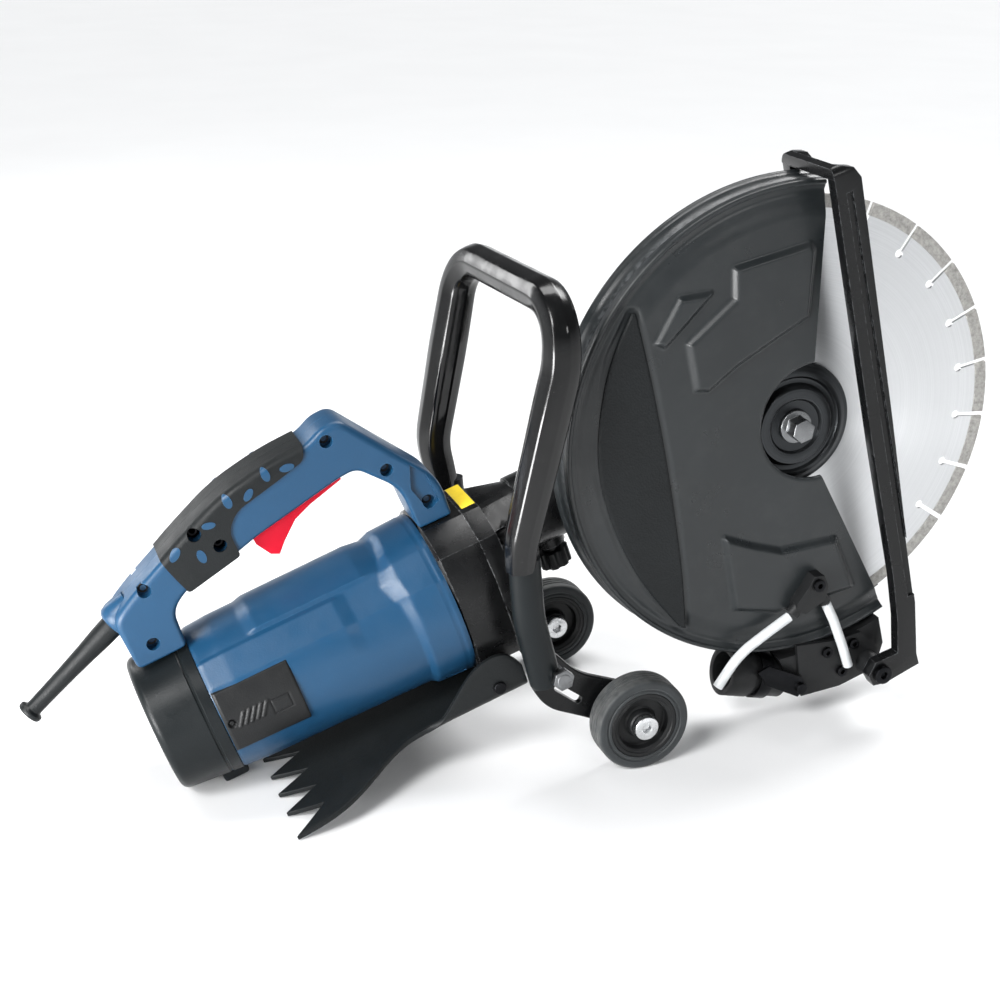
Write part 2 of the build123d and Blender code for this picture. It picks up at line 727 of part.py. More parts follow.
# ---- depth frame: a bail of two bars over the blade, hinged at the guard's foot -----------------
with BuildPart() as depth_frame:
    for near, far in (NEAR_BAR, FAR_BAR):
        with BuildSketch(side(far)):
            Polygon((61, 190), (66, 191), (77, 186), (81, 177), (69, 53), (63, -13), (54, -98), (47, -173), (36, -229),
                    (14, -229), (22, -212), (29, -180), (34, -141), (42, -28), align=None)
            Polygon((HINGE_X + 34, HINGE_Z + 9), (HINGE_X - 2, HINGE_Z + 11), (HINGE_X - 11, HINGE_Z + 2),
                    (HINGE_X - 9, HINGE_Z - 8), (HINGE_X + 2, HINGE_Z - 11), (HINGE_X + 34, HINGE_Z - 9), align=None)
            with Locations((HINGE_X, HINGE_Z)):
                Circle(4.0 + FIT, mode=Mode.SUBTRACT)
        extrude(amount=far - near)
    # cross plate over the top of the blade
    with BuildSketch(side(FAR_BAR[1])):
        Polygon((59.8, 183), (61, 190), (66, 191), (67, 181.6), (60.5, 181.6), align=None)
    extrude(amount=FAR_BAR[1] - NEAR_BAR[0])
    # the strap's two rounded bends
    with BuildSketch(across(-20)):
        with Locations(((NEAR_BAR[0] + FAR_BAR[1]) / 2, -35)):
            RectangleRounded(FAR_BAR[1] - NEAR_BAR[0], 452, 8)
    extrude(amount=120, mode=Mode.INTERSECT)
    # groove down the outside of each bar
    with BuildSketch(side(NEAR_BAR[0] + 2)):
        Polygon((67, 170), (72, 170), (49, -165), (42, -165), align=None)
    extrude(amount=3, mode=Mode.SUBTRACT)
save(depth_frame.part, "depth_frame")

with BuildPart() as hinge_bolt:
    with BuildSketch(side(FAR_BAR[1] + 5)):
        with Locations((HINGE_X, HINGE_Z)):
            Circle(4.0)
    extrude(amount=FAR_BAR[1] + 5 - NEAR_BAR[0] + 1)
    with BuildSketch(side(NEAR_BAR[0] - GAP)):
        with Locations((HINGE_X, HINGE_Z)):
            Circle(7.5)
            RegularPolygon(3.4, 6, mode=Mode.SUBTRACT)
    extrude(amount=5)
    with BuildSketch(side(NEAR_BAR[0] - GAP)):
        with Locations((HINGE_X, HINGE_Z)):
            Circle(4.0)
    extrude(amount=1)
    with BuildSketch(side(FAR_BAR[1] + 5)):
        with Locations((HINGE_X, HINGE_Z)):
            RegularPolygon(7, 6)
    extrude(amount=5 - GAP)
save(hinge_bolt.part, "hinge_bolt")

# ---- front handle -----------------------------------------------------------------------------
LOOP_Y = 88.0
LOOP_R = 14.5
with BuildPart() as front_handle:
    with BuildLine() as loop_path:
        FilletPolyline(
            (-243, -LOOP_Y + 1, 4),
            (-236, -LOOP_Y, 24),
            (-168, -LOOP_Y, 134),
            (-152, -LOOP_Y + 2, 177),
            (-165, LOOP_Y - 2, 180),
            (-239, LOOP_Y, 46),
            (-243, LOOP_Y - 1, 4),
            radius=[60, 70, 34, 34, 60],
        )
    with BuildSketch(Plane(origin=loop_path.line @ 0, z_dir=loop_path.line % 0)):
        Circle(LOOP_R)
    sweep(path=loop_path.line)
save(front_handle.part, "front_handle")

with BuildPart() as handle_bars:
    for s in (-1, 1):
        with BuildSketch(Plane.XY.offset(-99)):
            with Locations((BAR_X, s * 87)):
                RectangleRounded(27, 18, 7)
        extrude(amount=101)
        with BuildSketch(side(s * 60)):
            with Locations((BAR_X, ARM_BOLT_Z)):
                Circle(5)
        extrude(amount=-s * 60, mode=Mode.SUBTRACT)
save(handle_bars.part, "handle_bars")

with BuildPart() as handle_clamp:
    # stand-off bosses between the gear neck's flange and the bars
    for s in (-1, 1):
        with BuildSketch(side(-s * 52)):
            with Locations((BAR_X - 5, MOTOR_Z)):
                Circle(9)
        extrude(amount=s * 26)
    # clear the flange they are screwed to
    with BuildSketch(across(COVER_X)):
        Polygon(*CASE, align=None)
    extrude(amount=14, mode=Mode.SUBTRACT)
    with BuildSketch(across(COVER_X + 14)):
        Polygon(*[(y * 0.94, MOTOR_Z + (z - MOTOR_Z) * 0.94) for y, z in CASE], align=None)
    with BuildSketch(across(-212)):
        with Locations((0, -6)):
            Circle(33)
    loft(mode=Mode.SUBTRACT)
save(handle_clamp.part, "handle_clamp")

with BuildPart() as clamp_knob:
    with BuildSketch(Plane.XY.offset(-34.4)):
        with Locations((-196, 0)):
            Circle(8)
    extrude(amount=-5)
    with BuildSketch(Plane.XY.offset(-39.4)):
        with Locations((-196, 0)):
            Circle(13)
            with PolarLocations(14.5, 8):
                Circle(3, mode=Mode.SUBTRACT)
    extrude(amount=-14)
save(clamp_knob.part, "clamp_knob")

# ---- wheels and their arms ----------------------------------------------------------------------
ARM_T = 5.6
with BuildPart() as wheel_arms:
    # both wheels sit on the right of their arm
    for y in ARM_Y:
        with BuildSketch(side(y + ARM_T)):
            Polygon((-262, -82), (-252, -75), (-236, -76), (-184, -142), (-180, -157), (-190, -172),
                    (-205, -172), (-262, -112), (-268, -96), align=None)
            with Locations((WHEEL_X, WHEEL_Z), (BAR_X, ARM_BOLT_Z)):
                Circle(5, mode=Mode.SUBTRACT)
            with Locations((-226, -118)):
                SlotOverall(34, 7, rotation=-52, mode=Mode.SUBTRACT)
        extrude(amount=ARM_T)
save(wheel_arms.part, "wheel_arms")

with BuildPart() as arm_bolts:
    for head, nut in ((-102.5, -72.2), (72.5, 110.3)):
        with BuildSketch(side(nut)):
            with Locations((BAR_X, ARM_BOLT_Z)):
                Circle(5)
        extrude(amount=nut - head)
        with BuildSketch(side(head + 6.5 if head < 0 else 78)):
            with Locations((BAR_X, ARM_BOLT_Z)):
                RegularPolygon(8.5, 6)
        extrude(amount=6)
    # spacer between the left bar and its arm
    with BuildSketch(side(ARM_Y[1])):
        with Locations((BAR_X, ARM_BOLT_Z)):
            Circle(9)
    extrude(amount=ARM_Y[1] - 96)
save(arm_bolts.part, "arm_bolts")

for hand, inner in (("right", WHEEL_NEAR[0]), ("left", WHEEL_NEAR[1])):
    with BuildPart() as tyre:
        with BuildSketch(side(inner + WHEEL_W)):
            with Locations((WHEEL_X, WHEEL_Z)):
                Circle(WHEEL_R)
                Circle(27, mode=Mode.SUBTRACT)
        extrude(amount=WHEEL_W)
        fillet(tyre.edges().filter_by(GeomType.CIRCLE).filter_by(lambda e: e.radius > 30), radius=3.5)
    save(tyre.part, f"tyre_{hand}")
    with BuildPart() as hub:
        with BuildSketch(side(inner + WHEEL_W - 1)):
            with Locations((WHEEL_X, WHEEL_Z)):
                Circle(27)
        extrude(amount=WHEEL_W - 2)
        for y in (inner + WHEEL_W, inner + 8):
            with BuildSketch(side(y)):
                with Locations((WHEEL_X, WHEEL_Z)):
                    Circle(20.5)
                    Circle(11, mode=Mode.SUBTRACT)
            extrude(amount=8, mode=Mode.SUBTRACT)
        with BuildSketch(side(inner + WHEEL_W + 5)):
            with Locations((WHEEL_X, WHEEL_Z)):
                Circle(5 + FIT)
        extrude(amount=WHEEL_W + 10, mode=Mode.SUBTRACT)
    save(hub.part, f"wheel_{hand}")

with BuildPart() as axle_bolts:
    for inner, arm in zip(WHEEL_NEAR, ARM_Y):
        head = inner + 0.6
        back = arm + ARM_T + 4
        with BuildSketch(side(back)):
            with Locations((WHEEL_X, WHEEL_Z)):
                Circle(5)
        extrude(amount=back - inner)
        with BuildSketch(side(head)):
            with Locations((WHEEL_X, WHEEL_Z)):
                Circle(9.5)
                RegularPolygon(4, 6, mode=Mode.SUBTRACT)
        extrude(amount=5.5)
        with BuildSketch(side(head)):
            with Locations((WHEEL_X, WHEEL_Z)):
                Circle(5)
        extrude(amount=1)
        with BuildSketch(side(back)):
            with Locations((WHEEL_X, WHEEL_Z)):
                RegularPolygon(8.5, 6)
                Circle(5, mode=Mode.SUBTRACT)
        extrude(amount=4)
save(axle_bolts.part, "axle_bolts")

# ---- rubber splash flap under the motor ---------------------------------------------------------
FLAP_Z = -103.0
with BuildPart() as splash_flap:
    half_edge = [(-266, 67), (-290, 67), (-340, 64), (-362, 64), (-385, 78), (-410, 98), (-435, 110)]
    teeth = [(-466, 113), (-438, 92), (-466, 80), (-438, 66), (-466, 53), (-438, 40), (-466, 27),
             (-438, 13), (-466, 0)]
    right = half_edge + teeth
    left = [(x, -y) for x, y in reversed(right[:-1])]
    with BuildSketch(Plane.XY.offset(FLAP_Z)):
        Polygon(*right, *left, align=None)
    extrude(amount=4)
    # ears up the sides of the gear housing
    for s in (-1, 1):
        with BuildSketch(side(-s * 62)):
            Polygon((-266, FLAP_Z), (-262, -92), (-263, -76), (-272, -66), (-290, -66), (-310, -82),
                    (-345, FLAP_Z), align=None)
        extrude(amount=s * 5)
save(splash_flap.part, "splash_flap")

with BuildPart() as flap_screws:
    for s in (-1, 1):
        with BuildSketch(side(-s * 67)):
            with Locations((-284, -92)):
                Circle(5)
        extrude(amount=s * 2.5)
        with BuildSketch(side(-s * 54)):
            with Locations((-284, -84)):
                Circle(6)
        extrude(amount=s * 8)
save(flap_screws.part, "flap_screws")

# ---- rear D-handle --------------------------------------------------------------------------------
HANDLE_W = 19.0
OUTLINE = [(-263, 33), (-263, 66), (-318, 140), (-331, 137), (-343, 131), (-375, 129), (-415, 121),
           (-460, 100), (-497, 81), (-517, 66), (-517, 25.5), (-479, 27), (-477, 57), (-462, 67), (-417, 77),
           (-403, 82), (-331, 97), (-319, 97), (-295, 70), (-291, 33)]
CAVITY = [(-268, 36), (-268, 65), (-320, 134), (-331, 132), (-343, 126), (-375, 124), (-415, 116),
          (-457, 95), (-494, 76), (-512, 63), (-512, 30), (-484, 31), (-482, 60), (-463, 72), (-417, 82),
          (-403, 87), (-331, 102), (-317, 102), (-289, 72), (-286, 36)]
TRIGGER_PIN = (-336.0, 104.0)
HANDLE_SCREWS = [(-442, 108), (-428, 90), (-490, 84), (-500, 40), (-330, 128), (-297, 88), (-276, 50)]

for hand, s in (("right", -1), ("left", 1)):
    with BuildPart() as shell:
        with BuildSketch(side(0)):
            Polygon(*OUTLINE, align=None)
        extrude(amount=-s * HANDLE_W)
        chamfer(shell.faces().sort_by(Axis.Y)[0 if s < 0 else -1].edges(), length=5)
        with BuildSketch(side(0)):
            Polygon(*CAVITY, align=None)
        extrude(amount=-s * (HANDLE_W - 4.5), mode=Mode.SUBTRACT)
        # trigger slot through the underside
        with BuildSketch(side(0)):
            Polygon((-409, 70), (-324, 90), (-324, 110), (-409, 100), align=None)
        extrude(amount=-s * 9.5, mode=Mode.SUBTRACT)
        # holes for the trigger pin and for the cord sleeve
        with BuildSketch(side(0)):
            with Locations(TRIGGER_PIN):
                Circle(2.5)
        extrude(amount=-s * (HANDLE_W - 2.5), mode=Mode.SUBTRACT)
        with Locations(Location((-517, 0, 60), (0, -114.2, 0))):
            Cylinder(10.7, 30, mode=Mode.SUBTRACT)
        # clear the motor and its cap
        with Locations(Location((-390, 0, MOTOR_Z), (0, 90, 0))):
            Cylinder(60.2, 290, mode=Mode.SUBTRACT)
        with Locations(Location((-270, 0, MOTOR_Z), (0, 90, 0))):
            Cylinder(65.2, 60, mode=Mode.SUBTRACT)
    save(shell.part, f"handle_shell_{hand}")

with BuildPart() as grip_rubber:
    with BuildSketch(side(HANDLE_W + 1.4)):
        Polygon((-470, 106), (-470, 90), (-463, 72), (-418, 82), (-412, 99), (-409, 110), (-370, 118),
                (-356, 121), (-349, 126), (-347, 133.5), (-375, 131.5), (-416, 123.5), align=None)
    extrude(amount=2 * HANDLE_W + 2.8)
    with BuildSketch(side(0)):
        Polygon(*OUTLINE, align=None)
    extrude(amount=HANDLE_W, both=True, mode=Mode.SUBTRACT)
    with BuildSketch(side(HANDLE_W + 5)):
        with Locations(*HANDLE_SCREWS[:2]):
            Circle(3.6)
    extrude(amount=2 * HANDLE_W + 10, mode=Mode.SUBTRACT)
save(grip_rubber.part, "grip_rubber")

with BuildPart() as trigger:
    with BuildSketch(side(9)):
        Polygon((-330, 109), (-329, 92), (-357, 84), (-371, 78), (-384, 66), (-391, 58), (-397, 61),
                (-404, 73), (-406, 94), (-342, 109), align=None)
    extrude(amount=18)
    with BuildSketch(side(9)):
        with Locations(TRIGGER_PIN):
            Circle(2.5 + FIT)
    extrude(amount=18, mode=Mode.SUBTRACT)
save(trigger.part, "trigger")

with BuildPart() as trigger_pin:
    with BuildSketch(side(16.5)):
        with Locations(TRIGGER_PIN):
            Circle(2.5)
    extrude(amount=33)
save(trigger_pin.part, "trigger_pin")

with BuildPart() as power_switch:
    with BuildSketch(side(8)):
        Polygon((-404, 106), (-404, 116), (-375, 122), (-348, 122), (-348, 112), align=None)
    extrude(amount=16)
save(power_switch.part, "power_switch")

with BuildPart() as handle_screws:
    for x, z in HANDLE_SCREWS:
        with BuildSketch(side(-HANDLE_W - 0.3)):
            with Locations((x, z)):
                Circle(3.4)
                Rectangle(4, 1, mode=Mode.SUBTRACT)
                Rectangle(1, 4, mode=Mode.SUBTRACT)
        extrude(amount=1.6)
save(handle_screws.part, "handle_screws")

sleeve_dir = (-80, 0, -36)
sleeve_at = Plane(origin=(-508, 0, 64.0), x_dir=(0, 1, 0), z_dir=sleeve_dir)
with BuildPart() as cord_sleeve:
    with BuildSketch(sleeve_at):
        Circle(8.9)
    extrude(amount=10)
    with BuildSketch(sleeve_at.offset(10)):
        Circle(10.5)
    with BuildSketch(sleeve_at.offset(98)):
        Circle(7.5)
    loft()
    with BuildSketch(sleeve_at.offset(98)):
        Circle(9.5)
    extrude(amount=4)
    with BuildSketch(sleeve_at.offset(-5)):
        Circle(4.2)
    extrude(amount=120, mode=Mode.SUBTRACT)
save(cord_sleeve.part, "cord_sleeve")

with BuildPart() as housing_screws:
    for y, z in SCREWS:
        with BuildSketch(across(COVER_X + 10)):
            with Locations((y, MOTOR_Z + z)):
                Circle(5)
                RegularPolygon(2.6, 6, mode=Mode.SUBTRACT)
        extrude(amount=5)
save(housing_screws.part, "housing_screws")
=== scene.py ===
"""Looks for the concrete cut-off saw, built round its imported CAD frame.

Lengths given to at_many() and to the shape functions are the tool's own millimetres: x along the
motor towards the blade, y to the operator's left, z up, from where the blade's axis crosses the
machine's middle plane. Everything in the scene is in metres.
"""
import json
import math

import bmesh
import bpy
import numpy as np
from mathutils import Matrix, Vector


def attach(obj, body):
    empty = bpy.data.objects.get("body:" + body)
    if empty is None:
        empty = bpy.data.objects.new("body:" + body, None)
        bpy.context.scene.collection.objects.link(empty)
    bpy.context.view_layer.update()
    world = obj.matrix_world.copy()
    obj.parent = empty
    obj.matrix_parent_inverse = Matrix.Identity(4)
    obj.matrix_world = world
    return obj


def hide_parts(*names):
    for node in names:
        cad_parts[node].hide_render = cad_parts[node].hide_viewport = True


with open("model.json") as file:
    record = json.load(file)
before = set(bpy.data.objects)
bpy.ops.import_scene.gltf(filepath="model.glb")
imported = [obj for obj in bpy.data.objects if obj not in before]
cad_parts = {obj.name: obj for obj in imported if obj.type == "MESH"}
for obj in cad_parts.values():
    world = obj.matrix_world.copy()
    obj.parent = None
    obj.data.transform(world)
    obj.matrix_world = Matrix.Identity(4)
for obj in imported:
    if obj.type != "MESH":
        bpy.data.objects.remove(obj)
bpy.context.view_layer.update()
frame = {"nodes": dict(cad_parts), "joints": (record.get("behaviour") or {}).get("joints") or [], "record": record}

# ---- the tool's own axes, from the record's joints ----
joint = {j["name"]: j for j in frame["joints"]}
body_of = {n: b for b, names in frame["record"]["behaviour"]["bodies"].items() for n in names}
slot_of = {s["node"]: s["material_slot"] for s in frame["record"]["subparts"]}
forward = Vector(joint["armature_spin"]["axis"]).normalized()
left = Vector((0, 1, 0))
upward = forward.cross(left).normalized()
centre = Vector(joint["blade_spin"]["pos_m"])
centre.y = joint["armature_spin"]["pos_m"][1]
MM = 0.001


def at_many(points):
    """Points in tool millimetres, their last axis x, y, z, as frame metres."""
    axes = np.array([forward, left, upward])
    return np.asarray(points, float) @ axes * MM + np.array(centre)


def tool_point(place):
    """A point of the frame back in tool millimetres."""
    off = Vector(place) - centre
    return [off.dot(a) / MM for a in (forward, left, upward)]


motor_z = tool_point(joint["armature_spin"]["pos_m"])[2]

# ---- driving sizes, millimetres ----
BLADE_Y = -54.0
GUARD_R = 188.0
GUARD_NEAR = -70.5
GUARD_FAR = -40.0
GUARD_START = 68.4       # degrees from +x towards +z: the guard's open edges
GUARD_END = 280.0
PLATE_EDGE_X = 9.3       # the plate's upper edge runs from here at the blade's axis out to the rim,
PLATE_EDGE_RISE = (123.1, 42.2)          # rising this much in z for that much in x
SHEET = 2.5
SEAM_X = -479.0
RING_X = -291.0
REAR_R = 56.5
FRONT_R = 65.0
CRISP = 35               # edges sharper than this many degrees stay crisp after a cut
Y_AXIS = (0, 1, 0)


# ---- mesh helpers ----
def mesh_object(name, points, faces):
    """An object made from points in tool millimetres, with its faces turned outwards."""
    mesh = bpy.data.meshes.new(name)
    mesh.from_pydata([tuple(p) for p in at_many(points)], [], faces)
    mesh.validate()
    piece = bpy.data.objects.new(name, mesh)
    bpy.context.scene.collection.objects.link(piece)
    bm = bmesh.new()
    bm.from_mesh(mesh)
    bmesh.ops.recalc_face_normals(bm, faces=bm.faces)
    bm.to_mesh(mesh)
    bm.free()
    return piece


def dress(piece, material, degrees):
    """Smooth shading with edges sharper than that angle kept crisp, and one material all over."""
    mesh = piece.data
    mesh.polygons.foreach_set("use_smooth", [True] * len(mesh.polygons))
    mesh.set_sharp_from_angle(angle=math.radians(degrees))
    mesh.materials.clear()
    mesh.materials.append(material)


def new_piece(name, shape, body, stands_for, slot, smooth=CRISP, finish=None):
    """Makes a shape, (points, faces), and puts it on its body; the slot names its usual finish."""
    piece = mesh_object(name, *shape)
    dress(piece, finish or M[slot], smooth)
    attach(piece, body)
    if stands_for:
        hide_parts(*stands_for)
    return piece


def grid_faces(rows, columns, start=0, flip=False, closed_rows=False, closed_columns=False):
    """Quads over a grid of points stored row by row."""
    faces = []
    for i in range(rows if closed_rows else rows - 1):
        for j in range(columns if closed_columns else columns - 1):
            a = start + i * columns + j
            b = start + i * columns + (j + 1) % columns
            c = start + ((i + 1) % rows) * columns + (j + 1) % columns
            d = start + ((i + 1) % rows) * columns + j
            faces.append((a, d, c, b) if flip else (a, b, c, d))
    return faces


def thick_grid(outer, inner, closed_rows=False):
    """Points and faces of a closed sheet between two grids of the same shape (rows, columns, 3)."""
    rows, columns = outer.shape[:2]
    n = rows * columns
    points = np.concatenate([outer.reshape(-1, 3), inner.reshape(-1, 3)])
    faces = grid_faces(rows, columns, 0, closed_rows=closed_rows)
    faces += grid_faces(rows, columns, n, flip=True, closed_rows=closed_rows)
    for i in range(rows if closed_rows else rows - 1):
        a, b = i * columns, ((i + 1) % rows) * columns
        faces.append((a, b, n + b, n + a))
        a, b = a + columns - 1, b + columns - 1
        faces.append((b, a, n + a, n + b))
    if not closed_rows:
        for j in range(columns - 1):
            faces.append((j + 1, j, n + j, n + j + 1))
            last = (rows - 1) * columns
            faces.append((last + j, last + j + 1, n + last + j + 1, n + last + j))
    return points, faces


def end_caps(columns, total):
    """The first and the last ring of a stack of rings, as faces."""
    return [tuple(range(columns)), tuple(reversed(range(total - columns, total)))]


def lathe(profile, origin, axis, steps=96):
    """A closed solid of revolution: profile points are (distance along the axis, radius)."""
    axis = Vector(axis).normalized()
    side_way = axis.cross(Vector((0.3, 0.2, 0.9))).normalized()
    other = axis.cross(side_way)
    points = []
    for k in range(steps):
        turn = 2 * math.pi * k / steps
        out = side_way * math.cos(turn) + other * math.sin(turn)
        for along, radius in profile:
            points.append(Vector(origin) + axis * along + out * radius)
    return np.array(points), grid_faces(steps, len(profile), closed_rows=True, closed_columns=True)


def sweep_tube(path, ring, up_hint):
    """Sweeps ring(t) -> list of (across, up) offsets along a path of points, with flat end caps."""
    path = np.asarray(path, float)
    n = len(path)
    tangent = np.gradient(path, axis=0)
    tangent /= np.linalg.norm(tangent, axis=1)[:, None]
    points = []
    across = np.cross(tangent[0], up_hint)
    across /= np.linalg.norm(across)
    for k in range(n):
        across = across - tangent[k] * np.dot(across, tangent[k])
        across /= np.linalg.norm(across)
        up = np.cross(across, tangent[k])
        for a, b in ring(k / (n - 1)):
            points.append(path[k] + across * a + up * b)
    columns = len(points) // n
    faces = grid_faces(n, columns, closed_columns=True) + end_caps(columns, len(points))
    return np.array(points), faces


def run_along(line):
    """Distance covered at each point of a line."""
    return np.concatenate([[0], np.cumsum(np.linalg.norm(np.diff(line, axis=0), axis=1))])


def evenly(line, spacing):
    """The same line as evenly spaced points."""
    run = run_along(line)
    where = np.linspace(0, run[-1], int(run[-1] / spacing))
    return np.stack([np.interp(where, run, line[:, k]) for k in range(3)], 1)


def smooth_path(points, spacing):
    """A rounded path through the middle of a control polygon, evenly spaced (cubic B-spline)."""
    curve = bpy.data.curves.new("path", "CURVE")
    curve.dimensions = "3D"
    spline = curve.splines.new("NURBS")
    spline.points.add(len(points) - 1)
    for p, q in zip(spline.points, points):
        p.co = (*q, 1)
    spline.order_u = 4
    spline.use_endpoint_u = True
    spline.resolution_u = 24
    holder = bpy.data.objects.new("path", curve)
    mesh = bpy.data.meshes.new_from_object(holder)
    line = np.array([v.co for v in mesh.vertices], float)
    bpy.data.objects.remove(holder)
    bpy.data.meshes.remove(mesh)
    bpy.data.curves.remove(curve)
    return evenly(line, spacing)


def rounded(start, middle, end, radius, steps=6):
    """A corner of a profile turned with a radius."""
    start, middle, end = (np.array(p, float) for p in (start, middle, end))
    a = (start - middle) / np.linalg.norm(start - middle)
    b = (end - middle) / np.linalg.norm(end - middle)
    p, q = middle + a * radius, middle + b * radius
    turn = np.linspace(0, 1, steps)
    return [tuple((1 - t) ** 2 * p + 2 * t * (1 - t) * middle + t * t * q) for t in turn]


def new_box(low, high, rounding):
    """A block with rounded edges: (points, faces)."""
    bm = bmesh.new()
    bmesh.ops.create_cube(bm, size=1)
    size = [h - l for l, h in zip(low, high)]
    middle = [(h + l) / 2 for l, h in zip(low, high)]
    for v in bm.verts:
        v.co = Vector([m + c * s for m, c, s in zip(middle, v.co, size)])
    bmesh.ops.bevel(bm, geom=bm.edges[:], offset=rounding, segments=3, affect="EDGES", profile=0.5)
    bm.verts.index_update()
    points = np.array([v.co for v in bm.verts])
    faces = [tuple(v.index for v in f.verts) for f in bm.faces]
    bm.free()
    return points, faces


def block_on(outline, y_from, y_to):
    """A prism along y on an x, z outline."""
    n = len(outline)
    points = [(x, y, z) for y in (y_from, y_to) for x, z in outline]
    return np.array(points, float), grid_faces(2, n, closed_columns=True) + end_caps(n, 2 * n)


def oval_block(x, z, half_long, half_short, lean, y_from, y_to, steps):
    """An elliptical prism along y, leaning by that many degrees."""
    a = np.linspace(0, 2 * math.pi, steps, endpoint=False)
    u, v = half_long * np.cos(a), half_short * np.sin(a)
    c, s = math.cos(math.radians(lean)), math.sin(math.radians(lean))
    return block_on(np.stack([x + u * c - v * s, z + u * s + v * c], 1), y_from, y_to)


def joined(*parts):
    """Several (points, faces) as one."""
    points, faces, start = [], [], 0
    for some, around in parts:
        points.append(np.asarray(some, float).reshape(-1, 3))
        faces += [tuple(v + start for v in f) for f in around]
        start += len(points[-1])
    return np.concatenate(points), faces


def apply_modifiers(piece):
    """Turns the piece's modifiers into its mesh."""
    graph = bpy.context.evaluated_depsgraph_get()
    bpy.context.view_layer.update()
    mesh = bpy.data.meshes.new_from_object(piece.evaluated_get(graph))
    old = piece.data
    piece.modifiers.clear()
    piece.data = mesh
    bpy.data.meshes.remove(old)


def round_edges(piece, width, segments, degrees):
    """Rounds edges sharper than that angle by width millimetres."""
    bevel = piece.modifiers.new("round", "BEVEL")
    bevel.width = width * MM
    bevel.segments = segments
    bevel.limit_method = "ANGLE"
    bevel.angle_limit = math.radians(degrees)
    apply_modifiers(piece)


def cut(piece, shape, operation="DIFFERENCE"):
    """Cuts a closed shape out of a piece, or keeps only what lies in it, and dresses it again."""
    cutter = mesh_object("cutter", *shape)
    boolean = piece.modifiers.new("cut", "BOOLEAN")
    boolean.operation = operation
    boolean.solver = "EXACT"
    boolean.object = cutter
    material = piece.data.materials[0]
    apply_modifiers(piece)
    bpy.data.objects.remove(cutter)
    dress(piece, material, CRISP)


def soften(node, width, segments):
    """Stands a copy of a CAD node in its place, with its edges rounded by width millimetres."""
    source = frame["nodes"][node]
    bm = bmesh.new()
    bm.from_mesh(source.data)
    bmesh.ops.transform(bm, matrix=source.matrix_world, verts=bm.verts)
    bmesh.ops.remove_doubles(bm, verts=bm.verts, dist=2e-6)
    bmesh.ops.dissolve_limit(bm, angle_limit=math.radians(0.6), verts=bm.verts, edges=bm.edges)
    mesh = bpy.data.meshes.new(node + "_soft")
    bm.to_mesh(mesh)
    bm.free()
    piece = bpy.data.objects.new(node + "_soft", mesh)
    bpy.context.scene.collection.objects.link(piece)
    round_edges(piece, width, segments, 25)
    dress(piece, finish_of[node], 40)
    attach(piece, body_of[node])
    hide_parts(node)


